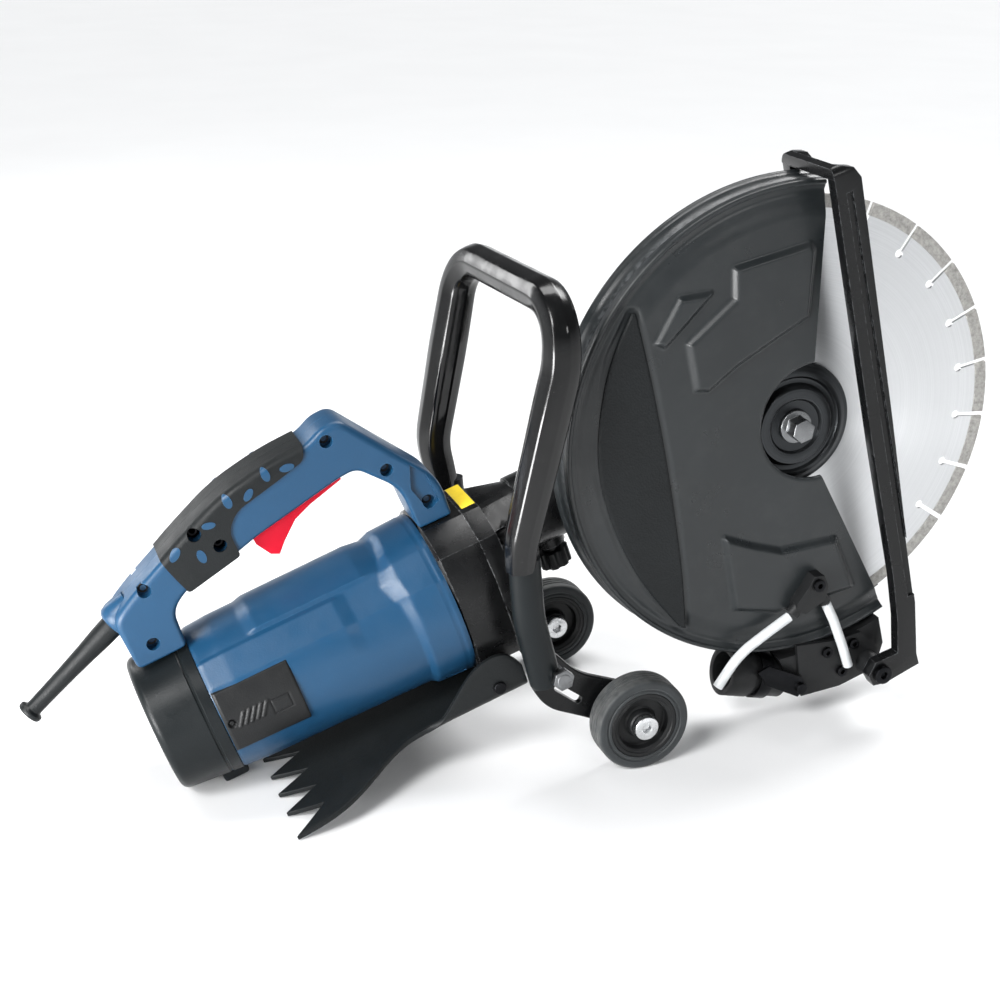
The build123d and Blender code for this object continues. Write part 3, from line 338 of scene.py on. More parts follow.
# ---- materials ----
class Graph:
    """A material's nodes, with short calls to add and join them."""

    def __init__(self, name, rough, metallic=0.0, specular=0.5, coat=0.0, coat_rough=0.1, sheen=0.0):
        self.material = bpy.data.materials.new(name)
        self.material.use_nodes = True
        self.tree = self.material.node_tree
        self.shader = self.tree.nodes["Principled BSDF"]
        self.place = self.put("TexCoord", {}, "Object")
        self.normal = None
        for key, value in (("Metallic", metallic), ("Roughness", rough), ("Specular IOR Level", specular),
                           ("Coat Weight", coat), ("Coat Roughness", coat_rough), ("Sheen Weight", sheen)):
            self.shader.inputs[key].default_value = value

    def put(self, kind, inputs, out=0, **settings):
        """Adds a node, sets or links its inputs, and gives one of its outputs."""
        node = self.tree.nodes.new("ShaderNode" + kind)
        for key, value in settings.items():
            setattr(node, key, value)
        for socket, value in inputs.items():
            if isinstance(value, bpy.types.NodeSocket):
                self.tree.links.new(value, node.inputs[socket])
            else:
                node.inputs[socket].default_value = value
        return node.outputs[out]

    def join(self, output, socket):
        """Links an output to the shader."""
        self.tree.links.new(output, self.shader.inputs[socket])

    def noise(self, scale, detail=3.0, rough=0.55, where=None):
        place = self.place if where is None else where
        inputs = {"Scale": scale, "Detail": detail, "Roughness": rough, "Vector": place}
        return self.put("TexNoise", inputs, "Fac")

    def cells(self, scale):
        return self.put("TexVoronoi", {"Scale": scale, "Vector": self.place}, "Distance")

    def stretch(self, amounts, turn=(0, 0, 0)):
        """The place, scaled by different amounts each way, for drawn or brushed marks."""
        return self.put("Mapping", {"Scale": amounts, "Rotation": turn, "Vector": self.place}, "Vector")

    def span(self, value, low, high, to_low=0.0, to_high=1.0):
        """Maps low..high to to_low..to_high, clamped."""
        inputs = {"From Min": low, "From Max": high, "To Min": to_low, "To Max": to_high, "Value": value}
        return self.put("MapRange", inputs, "Result")

    def times(self, a, b):
        return self.put("Math", {0: a, 1: b}, operation="MULTIPLY")

    def mix(self, share, a, b):
        """Colour a where share is 0, b where it is 1."""
        colours = {k: (*c, 1) if isinstance(c, tuple) else c for k, c in ((6, a), (7, b))}
        return self.put("Mix", {0: share, **colours}, 2, data_type="RGBA")

    def arrow(self, operation, a, b=(0, 0, 0), out=0):
        """One step of vector arithmetic."""
        return self.put("VectorMath", {0: a, 1: b}, out, operation=operation)

    def off(self, point):
        """The way from a point, metres."""
        return self.arrow("SUBTRACT", self.place, tuple(point))

    def radius(self, point):
        """Distance from a line through point along y, metres."""
        return self.arrow("LENGTH", self.arrow("CROSS_PRODUCT", self.off(point), tuple(left)), out="Value")

    def along(self, axis):
        """Distance along an axis from the blade's centre, metres."""
        return self.arrow("DOT_PRODUCT", self.off(centre), tuple(axis), "Value")

    def vector(self, x, y=0.0):
        return self.put("CombineXYZ", {0: x, 1: y})

    def bump(self, height, strength, distance):
        """Fine relief on top of any earlier relief."""
        inputs = {"Strength": strength, "Distance": distance, "Height": height}
        if self.normal is not None:
            inputs["Normal"] = self.normal
        self.normal = self.put("Bump", inputs, "Normal")
        self.join(self.normal, "Normal")

    def cloud(self, fac, colour, dark, pale, low=0.3, high=0.7):
        """The colour, swaying between dark and pale times itself."""
        return self.mix(self.span(fac, low, high), tint(colour, dark), tint(colour, pale))

    def fleck(self, base, fac, low, high, share, colour):
        """Base with up to that share of another colour where fac is high."""
        return self.mix(self.span(fac, low, high, 0.0, share), base, colour)

    def edges(self, colour, base, strength):
        """Mixes colour in along sharp edges, broken up by noise, as wear."""
        bevel = self.put("Bevel", {"Radius": 0.9 * MM}, "Normal", samples=4)
        bend = self.arrow("DOT_PRODUCT", bevel, self.put("NewGeometry", {}, "True Normal"), "Value")
        worn = self.span(bend, 0.80, 0.97, strength, 0.0)
        return self.mix(self.times(worn, self.span(self.noise(260, 4), 0.38, 0.62)), base, colour)

    def gloss(self, fac, low, high, from_low=0.3, from_high=0.7):
        """Roughness swaying between low and high."""
        self.join(self.span(fac, from_low, from_high, low, high), "Roughness")

    def done(self, base):
        self.join(base, "Base Color")
        return self.material


def tint(colour, factor):
    return tuple(min(1.0, c * factor) for c in colour)


def moulded(name, colour, rough, grain, depth, specular=0.25, variation=0.10, worn=None):
    """Moulded plastic or rubber: pebbled skin, slight flow marks in colour and gloss, scuffed edges."""
    g = Graph(name, rough, specular=specular)
    base = g.cloud(g.noise(14, 4), colour, 1 - variation, 1 + variation)
    base = g.fleck(base, g.noise(420, 2), 0.62, 0.8, 0.35, tint(colour, 1.35))
    g.gloss(g.noise(60, 5), rough - 0.07, rough + 0.08)
    g.bump(g.cells(grain), depth, 0.0004)
    g.bump(g.noise(grain * 0.35), depth * 0.6, 0.0006)
    return g.done(g.edges(worn or tint(colour, 1.7), base, 0.5))


def painted(name, colour, rough, peel, depth, specular=0.3, dust=0.0):
    """Powder coat on metal: orange peel, faint dust and edges rubbed towards bare metal."""
    g = Graph(name, rough, specular=specular)
    base = g.cloud(g.noise(9, 5), colour, 0.86, 1.18)
    if dust:
        base = g.fleck(base, g.noise(48, 6, 0.7), 0.5, 0.78, dust, (0.30, 0.30, 0.29))
    g.gloss(g.noise(36, 5), rough - 0.08, rough + 0.10)
    g.bump(g.noise(peel, 2), depth, 0.001)
    g.bump(g.noise(peel * 5, 2), depth * 0.8, 0.0004)
    return g.done(g.edges((0.20, 0.21, 0.22), base, 0.55))


def cast_metal(name, colour, rough, depth, metallic=0.0, specular=0.28, worn=(0.3, 0.31, 0.32)):
    """Casting, bare or painted: sand-cast grain and rubbed edges."""
    g = Graph(name, rough, metallic, specular)
    g.gloss(g.noise(80, 4), rough - 0.08, rough + 0.1)
    g.bump(g.noise(620), depth, 0.0009)
    g.bump(g.cells(1500), depth * 0.5, 0.0004)
    return g.done(g.edges(worn, g.cloud(g.noise(22, 5), colour, 0.8, 1.25), 0.6))


def turned_metal(name, colour, rough, rings, depth, dark=0.7, stain=0.25, sway=0.1, drawn=0.0):
    """Metal ground in fine rings about the blade's axis, with slight stains; drawn spreads its glints."""
    g = Graph(name, rough, 1.0)
    if drawn:
        g.shader.inputs["Anisotropic"].default_value = drawn
        g.join(g.off(centre), "Tangent")
    place = g.vector(g.radius(centre), g.along(left))
    lines = g.noise(rings, 4, 0.7, place)
    base = g.cloud(lines, colour, dark, 1.08)
    g.gloss(g.noise(rings / 9, 3, 0.6, place), rough - 0.8 * sway, rough + 1.2 * sway)
    g.bump(lines, depth, 0.0002)
    return g.done(g.fleck(base, g.noise(34, 6, 0.65), 0.52, 0.75, stain, tint(colour, 0.45)))


def plated(name, colour, rough=0.24, depth=0.04):
    """Metal plate with soft clouds and fine scratches."""
    g = Graph(name, rough, 1.0)
    scratch = g.noise(900, 2, 0.5, g.stretch((1, 0.08, 1), (0.4, 0.2, 0.9)))
    base = g.cloud(g.noise(55, 5), colour, 0.8, 1.1)
    base = g.fleck(base, scratch, 0.6, 0.75, 0.5, tint(colour, 0.55))
    g.gloss(g.noise(140, 4), rough - 0.08, rough + 0.14)
    g.bump(scratch, depth, 0.0003)
    return g.done(g.edges(tint(colour, 1.25), base, 0.5))


def sintered(name, colour):
    """Diamond segment: sintered metal matrix with exposed grit."""
    g = Graph(name, 0.55, 0.75)
    grit = g.cells(1100)
    base = g.cloud(g.noise(300, 5, 0.7), colour, 0.6, 1.25)
    g.bump(g.span(grit, 0.0, 0.5, 1.0, 0.0), 0.5, 0.0006)
    g.bump(g.noise(700, 4), 0.3, 0.0005)
    return g.done(g.mix(g.span(grit, 0.05, 0.25, 0.6, 0.0), base, (0.62, 0.60, 0.52)))


def gloss_rubber(name, colour, rough):
    """Smooth black sleeve: nearly polished, with faint dust and fingerprints."""
    g = Graph(name, rough, specular=0.38)
    base = g.cloud(g.noise(30, 5), colour, 0.8, 1.5, 0.35)
    g.gloss(g.noise(45, 6, 0.65), rough - 0.05, rough + 0.16, 0.35, 0.72)
    g.bump(g.noise(130, 2), 0.05, 0.0012)
    return g.done(g.fleck(base, g.noise(700, 2), 0.72, 0.85, 0.3, (0.2, 0.2, 0.2)))


def tyre_rubber(name, colour, point):
    """Solid rubber tyre: matt, with moulding rings and ground-in dust on the tread."""
    g = Graph(name, 0.62, specular=0.4, sheen=0.1)
    radius = g.radius(point)
    base = g.fleck(colour, g.noise(50, 6, 0.7), 0.4, 0.75, 0.8, tint(colour, 1.9))
    tread = g.span(radius, 0.0355, 0.0372, 0.0, 0.45)
    dusty = g.times(tread, g.span(g.noise(160, 4), 0.35, 0.7, 0.2))
    base = g.mix(dusty, base, (0.13, 0.13, 0.125))
    g.bump(g.noise(900, 2, 0.5, g.vector(radius)), 0.12, 0.0005)
    g.bump(g.noise(1300), 0.15, 0.0004)
    return g.done(g.edges(tint(colour, 2.2), base, 0.4))


def clear_tube(name, colour):
    """Milky nylon tube."""
    g = Graph(name, 0.22, coat=0.2, coat_rough=0.05)
    g.shader.inputs["Subsurface Weight"].default_value = 0.25
    g.shader.inputs["Subsurface Radius"].default_value = (0.004, 0.004, 0.004)
    g.bump(g.noise(500, 2), 0.04, 0.0005)
    return g.done(g.cloud(g.noise(120, 4), colour, 0.88, 1.0))


def laminated(name, colour):
    """Stacked core plates, edge on."""
    g = Graph(name, 0.45, 0.8)
    layers = g.noise(1600, 1, 0.5, g.vector(g.along(forward)))
    g.bump(layers, 0.3, 0.0003)
    return g.done(g.cloud(layers, colour, 0.6, 1.2, 0.35, 0.65))


def windings(name, colour):
    """Enamelled copper wire in lengthwise turns."""
    g = Graph(name, 0.32, 0.9)
    wire = g.noise(700, 2, 0.5, g.stretch((1, 1, 0.2)))
    g.bump(wire, 0.4, 0.0005)
    return g.done(g.cloud(wire, colour, 0.55, 1.15))


def printed_label(name, colour):
    """Blank vinyl label, a little faded and scuffed."""
    g = Graph(name, 0.38, coat=0.25, coat_rough=0.15)
    base = g.cloud(g.noise(70, 5), colour, 0.86, 1.06)
    g.bump(g.noise(240), 0.08, 0.0005)
    return g.done(g.fleck(base, g.noise(300, 5, 0.7), 0.62, 0.8, 0.5, (0.30, 0.27, 0.12)))


def textured_panel(name, colour):
    """The guard's stippled side panel."""
    g = Graph(name, 0.50, specular=0.22)
    base = g.cloud(g.noise(18, 5), colour, 0.85, 1.2)
    g.bump(g.cells(620), 0.35, 0.0007)
    return g.done(g.fleck(base, g.noise(520, 2), 0.55, 0.75, 0.4, tint(colour, 1.8)))


FINISHES = [
    (moulded, "blue_plastic", (0.0072, 0.046, 0.104), 0.36, 800, 0.08, 0.38, 0.06, (0.07, 0.18, 0.32)),
    (moulded, "black_plastic", (0.0085, 0.009, 0.0095), 0.42, 900, 0.14),
    (moulded, "dark_grey_plastic", (0.006, 0.0078, 0.0087), 0.36, 900, 0.10, 0.2),
    (moulded, "black_rubber", (0.0075, 0.0088, 0.0094), 0.44, 700, 0.18, 0.22, 0.15),
    (gloss_rubber, "black_gloss_rubber", (0.003, 0.0031, 0.0033), 0.13),
    (moulded, "red_plastic", (0.50, 0.006, 0.022), 0.36, 900, 0.08, 0.12, 0.06, (0.6, 0.04, 0.06)),
    (painted, "guard_paint", (0.0105, 0.0128, 0.014), 0.34, 240, 0.04, 0.45, 0.02),
    (painted, "frame_paint", (0.0035, 0.0037, 0.004), 0.26, 160, 0.04),
    (cast_metal, "black_casting", (0.004, 0.0042, 0.0045), 0.28, 0.03),
    (cast_metal, "alloy", (0.42, 0.43, 0.44), 0.42, 0.12, 1.0, 0.5, (0.7, 0.7, 0.7)),
    (turned_metal, "blade_steel", (0.64, 0.65, 0.66), 0.36, 2600, 0.012, 0.93, 0.05, 0.02, 0.85),
    (sintered, "diamond_segment", (0.42, 0.41, 0.39)),
    (plated, "zinc_steel", (0.72, 0.73, 0.74)),
    (turned_metal, "bright_steel", (0.55, 0.56, 0.57), 0.3, 2200, 0.05),
    (turned_metal, "flange_steel", (0.050, 0.053, 0.056), 0.34, 1700, 0.10, 0.6, 0.1),
    (plated, "bolt_steel", (0.20, 0.205, 0.21), 0.30, 0.06),
    (plated, "black_steel", (0.016, 0.0165, 0.018), 0.36, 0.08),
    (windings, "copper", (0.62, 0.27, 0.12)),
    (moulded, "carbon", (0.03, 0.03, 0.03), 0.7, 1500, 0.3),
    (laminated, "laminated_steel", (0.28, 0.29, 0.31)),
    (plated, "brass", (0.58, 0.42, 0.17), 0.3),
    (clear_tube, "white_tube", (0.60, 0.62, 0.63)),
    (printed_label, "label", (0.85, 0.62, 0.03)),
    (textured_panel, "panel", (0.007, 0.0083, 0.009)),
]
TYRE_COLOUR = (0.014, 0.0165, 0.018)
FINISHES += [(tyre_rubber, "tyre_" + hand, TYRE_COLOUR, joint[hand + "_wheel_roll"]["pos_m"])
             for hand in ("right", "left")]
M = {name: maker(name, *rest) for maker, name, *rest in FINISHES}

finish_of = {node: M.get(slot) for node, slot in slot_of.items()}
for node, finish in (("tyre_right", "tyre_right"), ("tyre_left", "tyre_left"), ("outer_flange", "flange_steel"),
                     ("flap_screws", "black_steel"), ("blade_bolt", "bolt_steel"), ("arm_bolts", "bolt_steel"),
                     ("spindle", "bright_steel")):
    finish_of[node] = M[finish]
for name, node in frame["nodes"].items():
    node.data.materials.clear()
    node.data.materials.append(finish_of[name])


# ---- relief shared by pressed and moulded surfaces ----
def inside(polygon, x, z):
    """Which of the points x, z lie inside a closed outline."""
    hit = np.zeros(np.shape(x), bool)
    for (x0, z0), (x1, z1) in zip(polygon, polygon[1:] + polygon[:1]):
        crosses = (z0 > z) != (z1 > z)
        hit ^= crosses & (x < (x1 - x0) * (z - z0) / (z1 - z0 + 1e-9) + x0)
    return hit


def reach(polygon, x, z):
    """Signed distance to a closed outline, positive inside."""
    best = np.full(np.shape(x), 1e9)
    for (x0, z0), (x1, z1) in zip(polygon, polygon[1:] + polygon[:1]):
        run = (x1 - x0) ** 2 + (z1 - z0) ** 2
        t = np.clip(((x - x0) * (x1 - x0) + (z - z0) * (z1 - z0)) / run, 0, 1)
        best = np.minimum(best, np.hypot(x - x0 - t * (x1 - x0), z - z0 - t * (z1 - z0)))
    return np.where(inside(polygon, x, z), best, -best)


def ramp(value, low, high):
    """0 below low, 1 above high, a straight slope between."""
    return np.clip((value - low) / (high - low), 0, 1)


def ease(value, low, high):
    """The same with a smooth slope."""
    t = ramp(value, low, high)
    return t * t * (3 - 2 * t)


# ---- guard: side plate, rolled rim and far wall, pressed from sheet ----
PADS = [
    [(-18, 142), (43, 135), (45, 130), (28, 84), (-5, 78), (-36, 72), (-62, 63), (-71, 67), (-67, 103),
     (-24, 120)],
    [(-90, 114), (-64, 138), (-40, 132), (-85, 109)],
    [(-82, -58), (-63, -74), (-41, -90), (5, -102), (9, -149), (-56, -139), (-90, -119)],
]
PAD_HEIGHT = 4.4
CRESCENT_SINK = 1.5
RIB_HEIGHT = 1.3         # on the far wall
RIB_RINGS = (74, 160)
CUT_OUT_R = 46.5         # the plate's round cut-out, and how far its middle is from the blade's axis
CUT_OUT_X = 15
# the stippled crescent: its straighter side, then its arc
INNER_SIDE = [(-98, 141), (-99, 113), (-102.5, 70), (-108, 18), (-115.5, -35), (-123, -81), (-132, -117)]
OUTER_SIDE = [(-101, 142.5), (-125, 118), (-142, 88.5), (-153, 63), (-161, 36), (-163.3, 6), (-161.4, -32),
              (-152.6, -74), (-136.4, -113)]
CRESCENT = INNER_SIDE + OUTER_SIDE[::-1]


def within(off, inner, outer):
    """1 where off is nearer to 0 than inner, 0 beyond outer, a smooth slope between."""
    return 1 - ease(np.abs(off), inner, outer)


def swell(off, width):
    """1 where off is 0, fading away over width."""
    return np.exp(-(off / width) ** 2)


def plate_relief(x, z):
    """How far the side plate stands out at x, z."""
    high = np.zeros(np.shape(x))
    for pad in PADS:
        high = np.maximum(high, PAD_HEIGHT * ease(reach(pad, x, z), -3.2, 2.6))
    high = high - CRESCENT_SINK * ease(reach(CRESCENT, x, z), -5.0, -1.0)
    # the rim is dished: a cone, then a shallow channel inside the rolled edge
    r = np.hypot(x, z)
    return high - 3.6 * ease(r, 161, 177) - 1.4 * swell(r - 180.0, 2.2)


def scallop(angle):
    """Distance from the blade's axis to the plate's round cut-out."""
    return CUT_OUT_X * np.cos(angle) + np.sqrt(CUT_OUT_R ** 2 - (CUT_OUT_X * np.sin(angle)) ** 2)


def polar_points(radius, angle, y):
    """Points at radius and angle round the blade's axis, at depth y."""
    return np.stack([radius * np.cos(angle), y, radius * np.sin(angle)], -1)


def plate_start(radius):
    """Angle in radians of the plate's straight upper edge, which misses the blade's axis, at a radius."""
    lean = math.atan2(*PLATE_EDGE_RISE)
    return lean - np.arcsin(PLATE_EDGE_X * math.sin(lean) / radius)


def side_and_rim():
    """The plate with its rounded corner, the rim and its bead, as one sheet."""
    rows, columns = 460, 124
    share = np.linspace(0, 1, rows)[:, None]
    flat = np.linspace(0, 1, columns)[None, :]
    turn = np.linspace(0, math.pi / 2, 7)[1:]
    edge = GUARD_R - 3.5
    lip = GUARD_NEAR + 2.6
    corner = [(edge, lip + 0.6), (edge + 0.4, lip - 0.1)]
    corner += [(GUARD_R - 2.6 + 2.6 * math.sin(t), lip + 2.2 - 2.6 * math.cos(t)) for t in turn]
    rim = [(GUARD_R, -60.5), (GUARD_R - 0.9, -59.8), (GUARD_R - 0.9, -58.2), (GUARD_R, -57.5), (GUARD_R, -46),
           (GUARD_R + 0.2, -43.6), (GUARD_R + 1.6, -42.2), (GUARD_R + 2.4, -40.4), (GUARD_R + 1.9, -38.7),
           (GUARD_R + 0.4, -38.1)]
    hem = [(edge - 0.6, lip + 3.0), (edge - 0.4, lip + 2.8)]
    hem += [(edge - 0.3 + 0.14 * k, lip + 3.0 + 0.5 * k) for k in range(1, 7)]
    hem += [(GUARD_R - SHEET, y_in) for y_in in (-60.5, -59.8, -58.2, -57.5, -46, -43.6, -42.2, -40.4, -39.2)]
    hem.append((GUARD_R - 2.0, -38.1))
    start = np.full((rows, 1), math.radians(69.5))
    end = math.radians(GUARD_END)
    # three passes settle the scallop's radius and the edge's angle against each other
    for _ in range(3):
        angle = start + (end - start) * share
        inner_r = scallop(angle)
        radius = inner_r * (1 - flat) + (edge - 0.6) * flat
        start = plate_start(radius)
    angle = start + (end - start) * share
    x, z = radius * np.cos(angle), radius * np.sin(angle)
    y = GUARD_NEAR - plate_relief(x, z) + 0.9 * (1 - ease(radius - inner_r, 0.0, 2.5))
    angle = np.hstack([angle] + [angle[:, -1:]] * len(hem))
    sheets = []
    for depth, beyond in ((y, corner + rim), (y + 2.4, hem)):
        r_beyond, y_beyond = np.array(beyond).T
        ones = np.ones((rows, 1))
        radii = np.hstack([radius, ones * r_beyond])
        sheets.append(polar_points(radii, angle, np.hstack([depth, ones * y_beyond])))
    return thick_grid(*sheets)


def crescent_panel():
    """The stippled panel, a thin raised leaf with a rounded edge."""
    t = np.linspace(0, 1, 150)[:, None]
    s = np.linspace(0, 1, 34)[None, :]
    length = 250
    sides = []
    for line in (INNER_SIDE, OUTER_SIDE):
        curve = smooth_path([(x, 0, z) for x, z in line], 1.0)
        run = np.linspace(0, 1, len(curve))
        sides.append(np.stack([np.interp(t[:, 0], run, curve[:, k]) for k in (0, 2)], 1))
    x = sides[0][:, :1] * (1 - s) + sides[1][:, :1] * s
    z = sides[0][:, 1:] * (1 - s) + sides[1][:, 1:] * s
    width = np.hypot(sides[0][:, 0] - sides[1][:, 0], sides[0][:, 1] - sides[1][:, 1])[:, None]
    edge = np.minimum(np.minimum(s, 1 - s) * width, np.minimum(t, 1 - t) * length)
    y = GUARD_NEAR + 0.9 - 1.3 * ease(edge, 0, 1.8)
    back = GUARD_NEAR + 2.0 + 0 * x
    return thick_grid(np.stack([x, y, z], -1), np.stack([x, back, z], -1))


def far_wall():
    """The wall behind the blade: a disc sector with two pressed rings, radial ribs and a hub ring."""
    rows = int((GUARD_END + 4 - GUARD_START) / 0.75)
    angle = np.radians(np.linspace(GUARD_START, GUARD_END + 4, rows))[:, None]
    radius = np.concatenate([np.linspace(31, 60, 16), np.linspace(62, 186.3, 90)])[None, :] + 0 * angle
    ring = sum(swell(radius - middle, 3.2) for middle in RIB_RINGS)
    spoke = np.zeros(radius.shape)
    for middle in np.radians(np.arange(96, 280, 30)):
        off = radius * np.sin(angle - middle)
        spoke = np.maximum(spoke, swell(off, 3.0) * ease(radius, 78, 84) * within(radius, 150, 156))
    y = GUARD_FAR + RIB_HEIGHT * np.maximum(ring, spoke)
    near, far = (polar_points(radius, angle, depth) for depth in (y, GUARD_FAR - SHEET + 0 * radius))
    hub = [(GUARD_FAR - SHEET, 30.2), (GUARD_FAR + 1.2, 30.2), (GUARD_FAR + 1.5, 31), (GUARD_FAR + 1.5, 33.4),
           (GUARD_FAR + 0.8, 34), (GUARD_FAR - SHEET, 34)]
    return joined(thick_grid(near, far), lathe(hub, (0, 0, 0), Y_AXIS))


def build_guard():
    new_piece("guard_cover", side_and_rim(), "guard", ("guard_side_plate",), "guard_paint", 75)
    new_piece("guard_panel", crescent_panel(), "guard", (), "guard_paint", 40, M["panel"])
    new_piece("guard_back", far_wall(), "guard", ("guard_shell",), "guard_paint")


# ---- motor: blue housing with its shoulders and steps ----
def motor_points(x, angle, radius):
    """Points round the motor's axis; angle 0 is up, growing towards the operator's right."""
    return np.stack([x + 0 * radius, -radius * np.sin(angle), motor_z + radius * np.cos(angle)], -1)


def facet(angle, start, end):
    """Radius factor of a flat between two angles in degrees."""
    middle, half = math.radians((start + end) / 2), math.radians((end - start) / 2)
    inside_it = np.abs(angle - middle) < half
    return np.where(inside_it, math.cos(half) / np.cos(np.clip(angle - middle, -half, half)), 1.0)


def motor_radius(x, angle):
    """Outer radius of the blue housing at x, at an angle folded to 0..180 degrees from the top."""
    degrees = np.degrees(angle)
    body = np.interp(x, [SEAM_X, SEAM_X + 2, SEAM_X + 20, -350, -318],
                     [REAR_R - 0.8, REAR_R, 58, 59.6, 60.4])
    # the top stands up behind the handle's blue back
    body = body + 2.2 * ramp(x, -438, -429) * (1 - ramp(degrees, 29, 31)) * (1 - ramp(x, -345, -330))
    body = body + 1.7 * (1 - ramp(x, -372, -362)) * ramp(degrees, 32, 35) * (1 - ramp(degrees, 62, 80))
    collar_x = np.interp(degrees, [1.5, 18, 30, 41, 51, 60, 73, 88, 180],
                         [-325, -327.5, -332, -336.5, -332.6, -329, -327, -325.6, -325])
    front = np.interp(x, [-340, -318, RING_X - 3, RING_X], [62.8, 63.8, 64.9, 64.2])
    step = ramp(x, collar_x, collar_x + np.interp(degrees, [0, 20, 41, 62, 90], [5, 6, 15, 9, 5]))
    body = body * (1 - step) + front * step
    return body * facet(angle, 31, 56) - 0.9 * swell(x - (RING_X - 5), 0.8)


def build_motor():
    x = np.unique(np.concatenate([np.arange(SEAM_X, RING_X, 1.6), [RING_X]]))[None, :]
    angle = np.radians(np.arange(0, 360, 1.25))[:, None]
    folded = np.abs((angle + math.pi) % (2 * math.pi) - math.pi)
    radius = motor_radius(x + 0 * angle, folded + 0 * x)
    # cooling slots under the front
    degrees = np.degrees(folded) + 0 * x
    for middle in (180, 160, 140):
        slot = within(degrees - middle, 1.6, 2.6) * within(x - (RING_X - 16), 7, 8.5)
        radius = radius - 2.4 * slot
    outer = motor_points(x, angle, radius)
    inner = motor_points(x, angle, radius * 0 + np.interp(x, [SEAM_X, RING_X], [REAR_R - 3.5, FRONT_R - 5.5]))
    new_piece("motor_skin", thick_grid(outer, inner, True), "saw_body", ("motor_housing",), "blue_plastic", 32)


def build_rear_cap():
    """Rear cap: rounded edge, a parting step at the seam and a ring of air slots in the end."""
    edge = [(SEAM_X, REAR_R - 0.9), (SEAM_X - 0.6, REAR_R), (SEAM_X - 8, REAR_R - 0.3),
            (SEAM_X - 8.8, REAR_R - 1.1), (SEAM_X - 10.2, REAR_R - 1.1), (SEAM_X - 11, REAR_R - 0.5),
            (-520, 53.2)]
    edge += [(-520 - 6 * math.sin(t), 47.2 + 6 * math.cos(t)) for t in np.linspace(0.15, math.pi / 2, 9)]
    edge += [(-526, r) for r in np.arange(46.0, 16, -1.25)]
    edge += [(-526, 14), (-524.5, 13), (-524.5, 8), (-525.3, 6), (-525.3, 0.5)]
    angle = np.radians(np.arange(0, 360, 1.0))[:, None]
    x, r = (np.array(column)[None, :] + 0 * angle for column in zip(*edge))
    spoke = np.abs((np.degrees(angle) + 7.5) % 30 - 15)
    slot = within(spoke, 3.0, 4.2) * ease(r, 22, 23.5) * within(r, 39.5, 41) * (x < -525)
    outer = motor_points(x + 3.2 * slot, angle, r)
    inner = motor_points(np.maximum(x, -520) + 0.5, angle, np.maximum(r - 3.2, 0.4))
    foot = new_box((SEAM_X - 18, -18, -93.2), (SEAM_X + 2, 18, -80), 2.5)
    cap = joined(thick_grid(outer, inner, True), foot)
    new_piece("rear_cap_shell", cap, "saw_body", ("rear_cap",), "dark_grey_plastic")


COVER_X = (-478.4, -419.0)
COVER_TURN = (58.0, 108.0)


def build_brush_covers():
    """Black covers let into the housing's sides, ribbed, with a screw sunk near the lower rear corner."""
    degrees, x = np.meshgrid(np.arange(COVER_TURN[0], COVER_TURN[1] + 0.1, 0.7),
                             np.arange(COVER_X[0], COVER_X[1] + 0.1, 0.7), indexing="ij")
    mm_per_degree = math.radians(1) * 59
    edge_x = np.minimum(x - COVER_X[0], COVER_X[1] - x)
    edge_a = np.minimum(degrees - COVER_TURN[0], COVER_TURN[1] - degrees) * mm_per_degree
    radius = np.interp(x, COVER_X, [58.2, 59.6]) + 1.5 * ease(np.minimum(edge_x, edge_a), -0.2, 2.0)
    arc = (degrees - 85) * mm_per_degree
    for middle in np.linspace(-465.7, -447.6, 5):
        slant = x - middle + 0.65 * (arc + 1.5)
        radius = radius + within(slant, 0.9, 1.7) * within(arc + 1.5, 4.6, 6.0)
    frame_line = np.maximum(np.abs(x + 435) - 8, np.abs(arc - 0.6) - 6.1)
    radius = radius - 0.7 * (1 - ease(frame_line, -0.8, 0.2)) + 0.7 * (1 - ease(frame_line, -2.0, -1.2))
    hole = np.hypot(x + 473.2, arc + 1.2)
    radius = radius - 2.2 * within(hole, 2.6, 3.4) + 1.2 * within(hole, 1.6, 2.0)
    for s, name in ((1, "brush_cover_right"), (-1, "brush_cover_left")):
        angle = np.radians(degrees) * s
        outer = motor_points(x, angle, radius)
        inner = motor_points(x, angle, 0 * radius + 55.5)
        stands = ("brush_covers",) if s == 1 else ()
        new_piece(name, thick_grid(outer, inner), "saw_body", stands, "black_plastic")


# ---- front handle: a faceted rubber sleeve round a bent bar ----
LOOP = [(-243, -87, 4), (-236, -88, 24), (-168, -88, 134), (-152, -86, 177), (-165, 86, 180),
        (-239, 88, 46), (-243, 87, 4)]
LOOP_BENDS = [60, 70, 34, 34, 60]


def build_front_handle():
    path = bent(LOOP, LOOP_BENDS, 2.5)
    height = path[:, 2]
    last = len(path) - 1
    run = run_along(path)
    run = run / run[-1]
    across_top = np.abs(path[:, 1]) < 60
    girth = np.interp(height, [4, 20, 60, 115, 150, 172], [13.0, 13.4, 14.4, 15.4, 14.6, 14.0])
    girth = np.where(across_top, 13.8, girth)
    girth = np.convolve(np.pad(girth, 6, mode="edge"), np.ones(13) / 13, mode="valid")
    girth = girth * (1 - 0.12 * (np.exp(-run * 60) + np.exp(-(1 - run) * 60)))

    def ring(t):
        size = girth[int(round(t * last))]
        return [(size * a, size * b) for a, b in SLEEVE]

    new_piece("front_handle_sleeve", sweep_tube(path, ring, (0.9, 0.0, 0.43)), "saw_body", ("front_handle",),
              "black_gloss_rubber", 60)


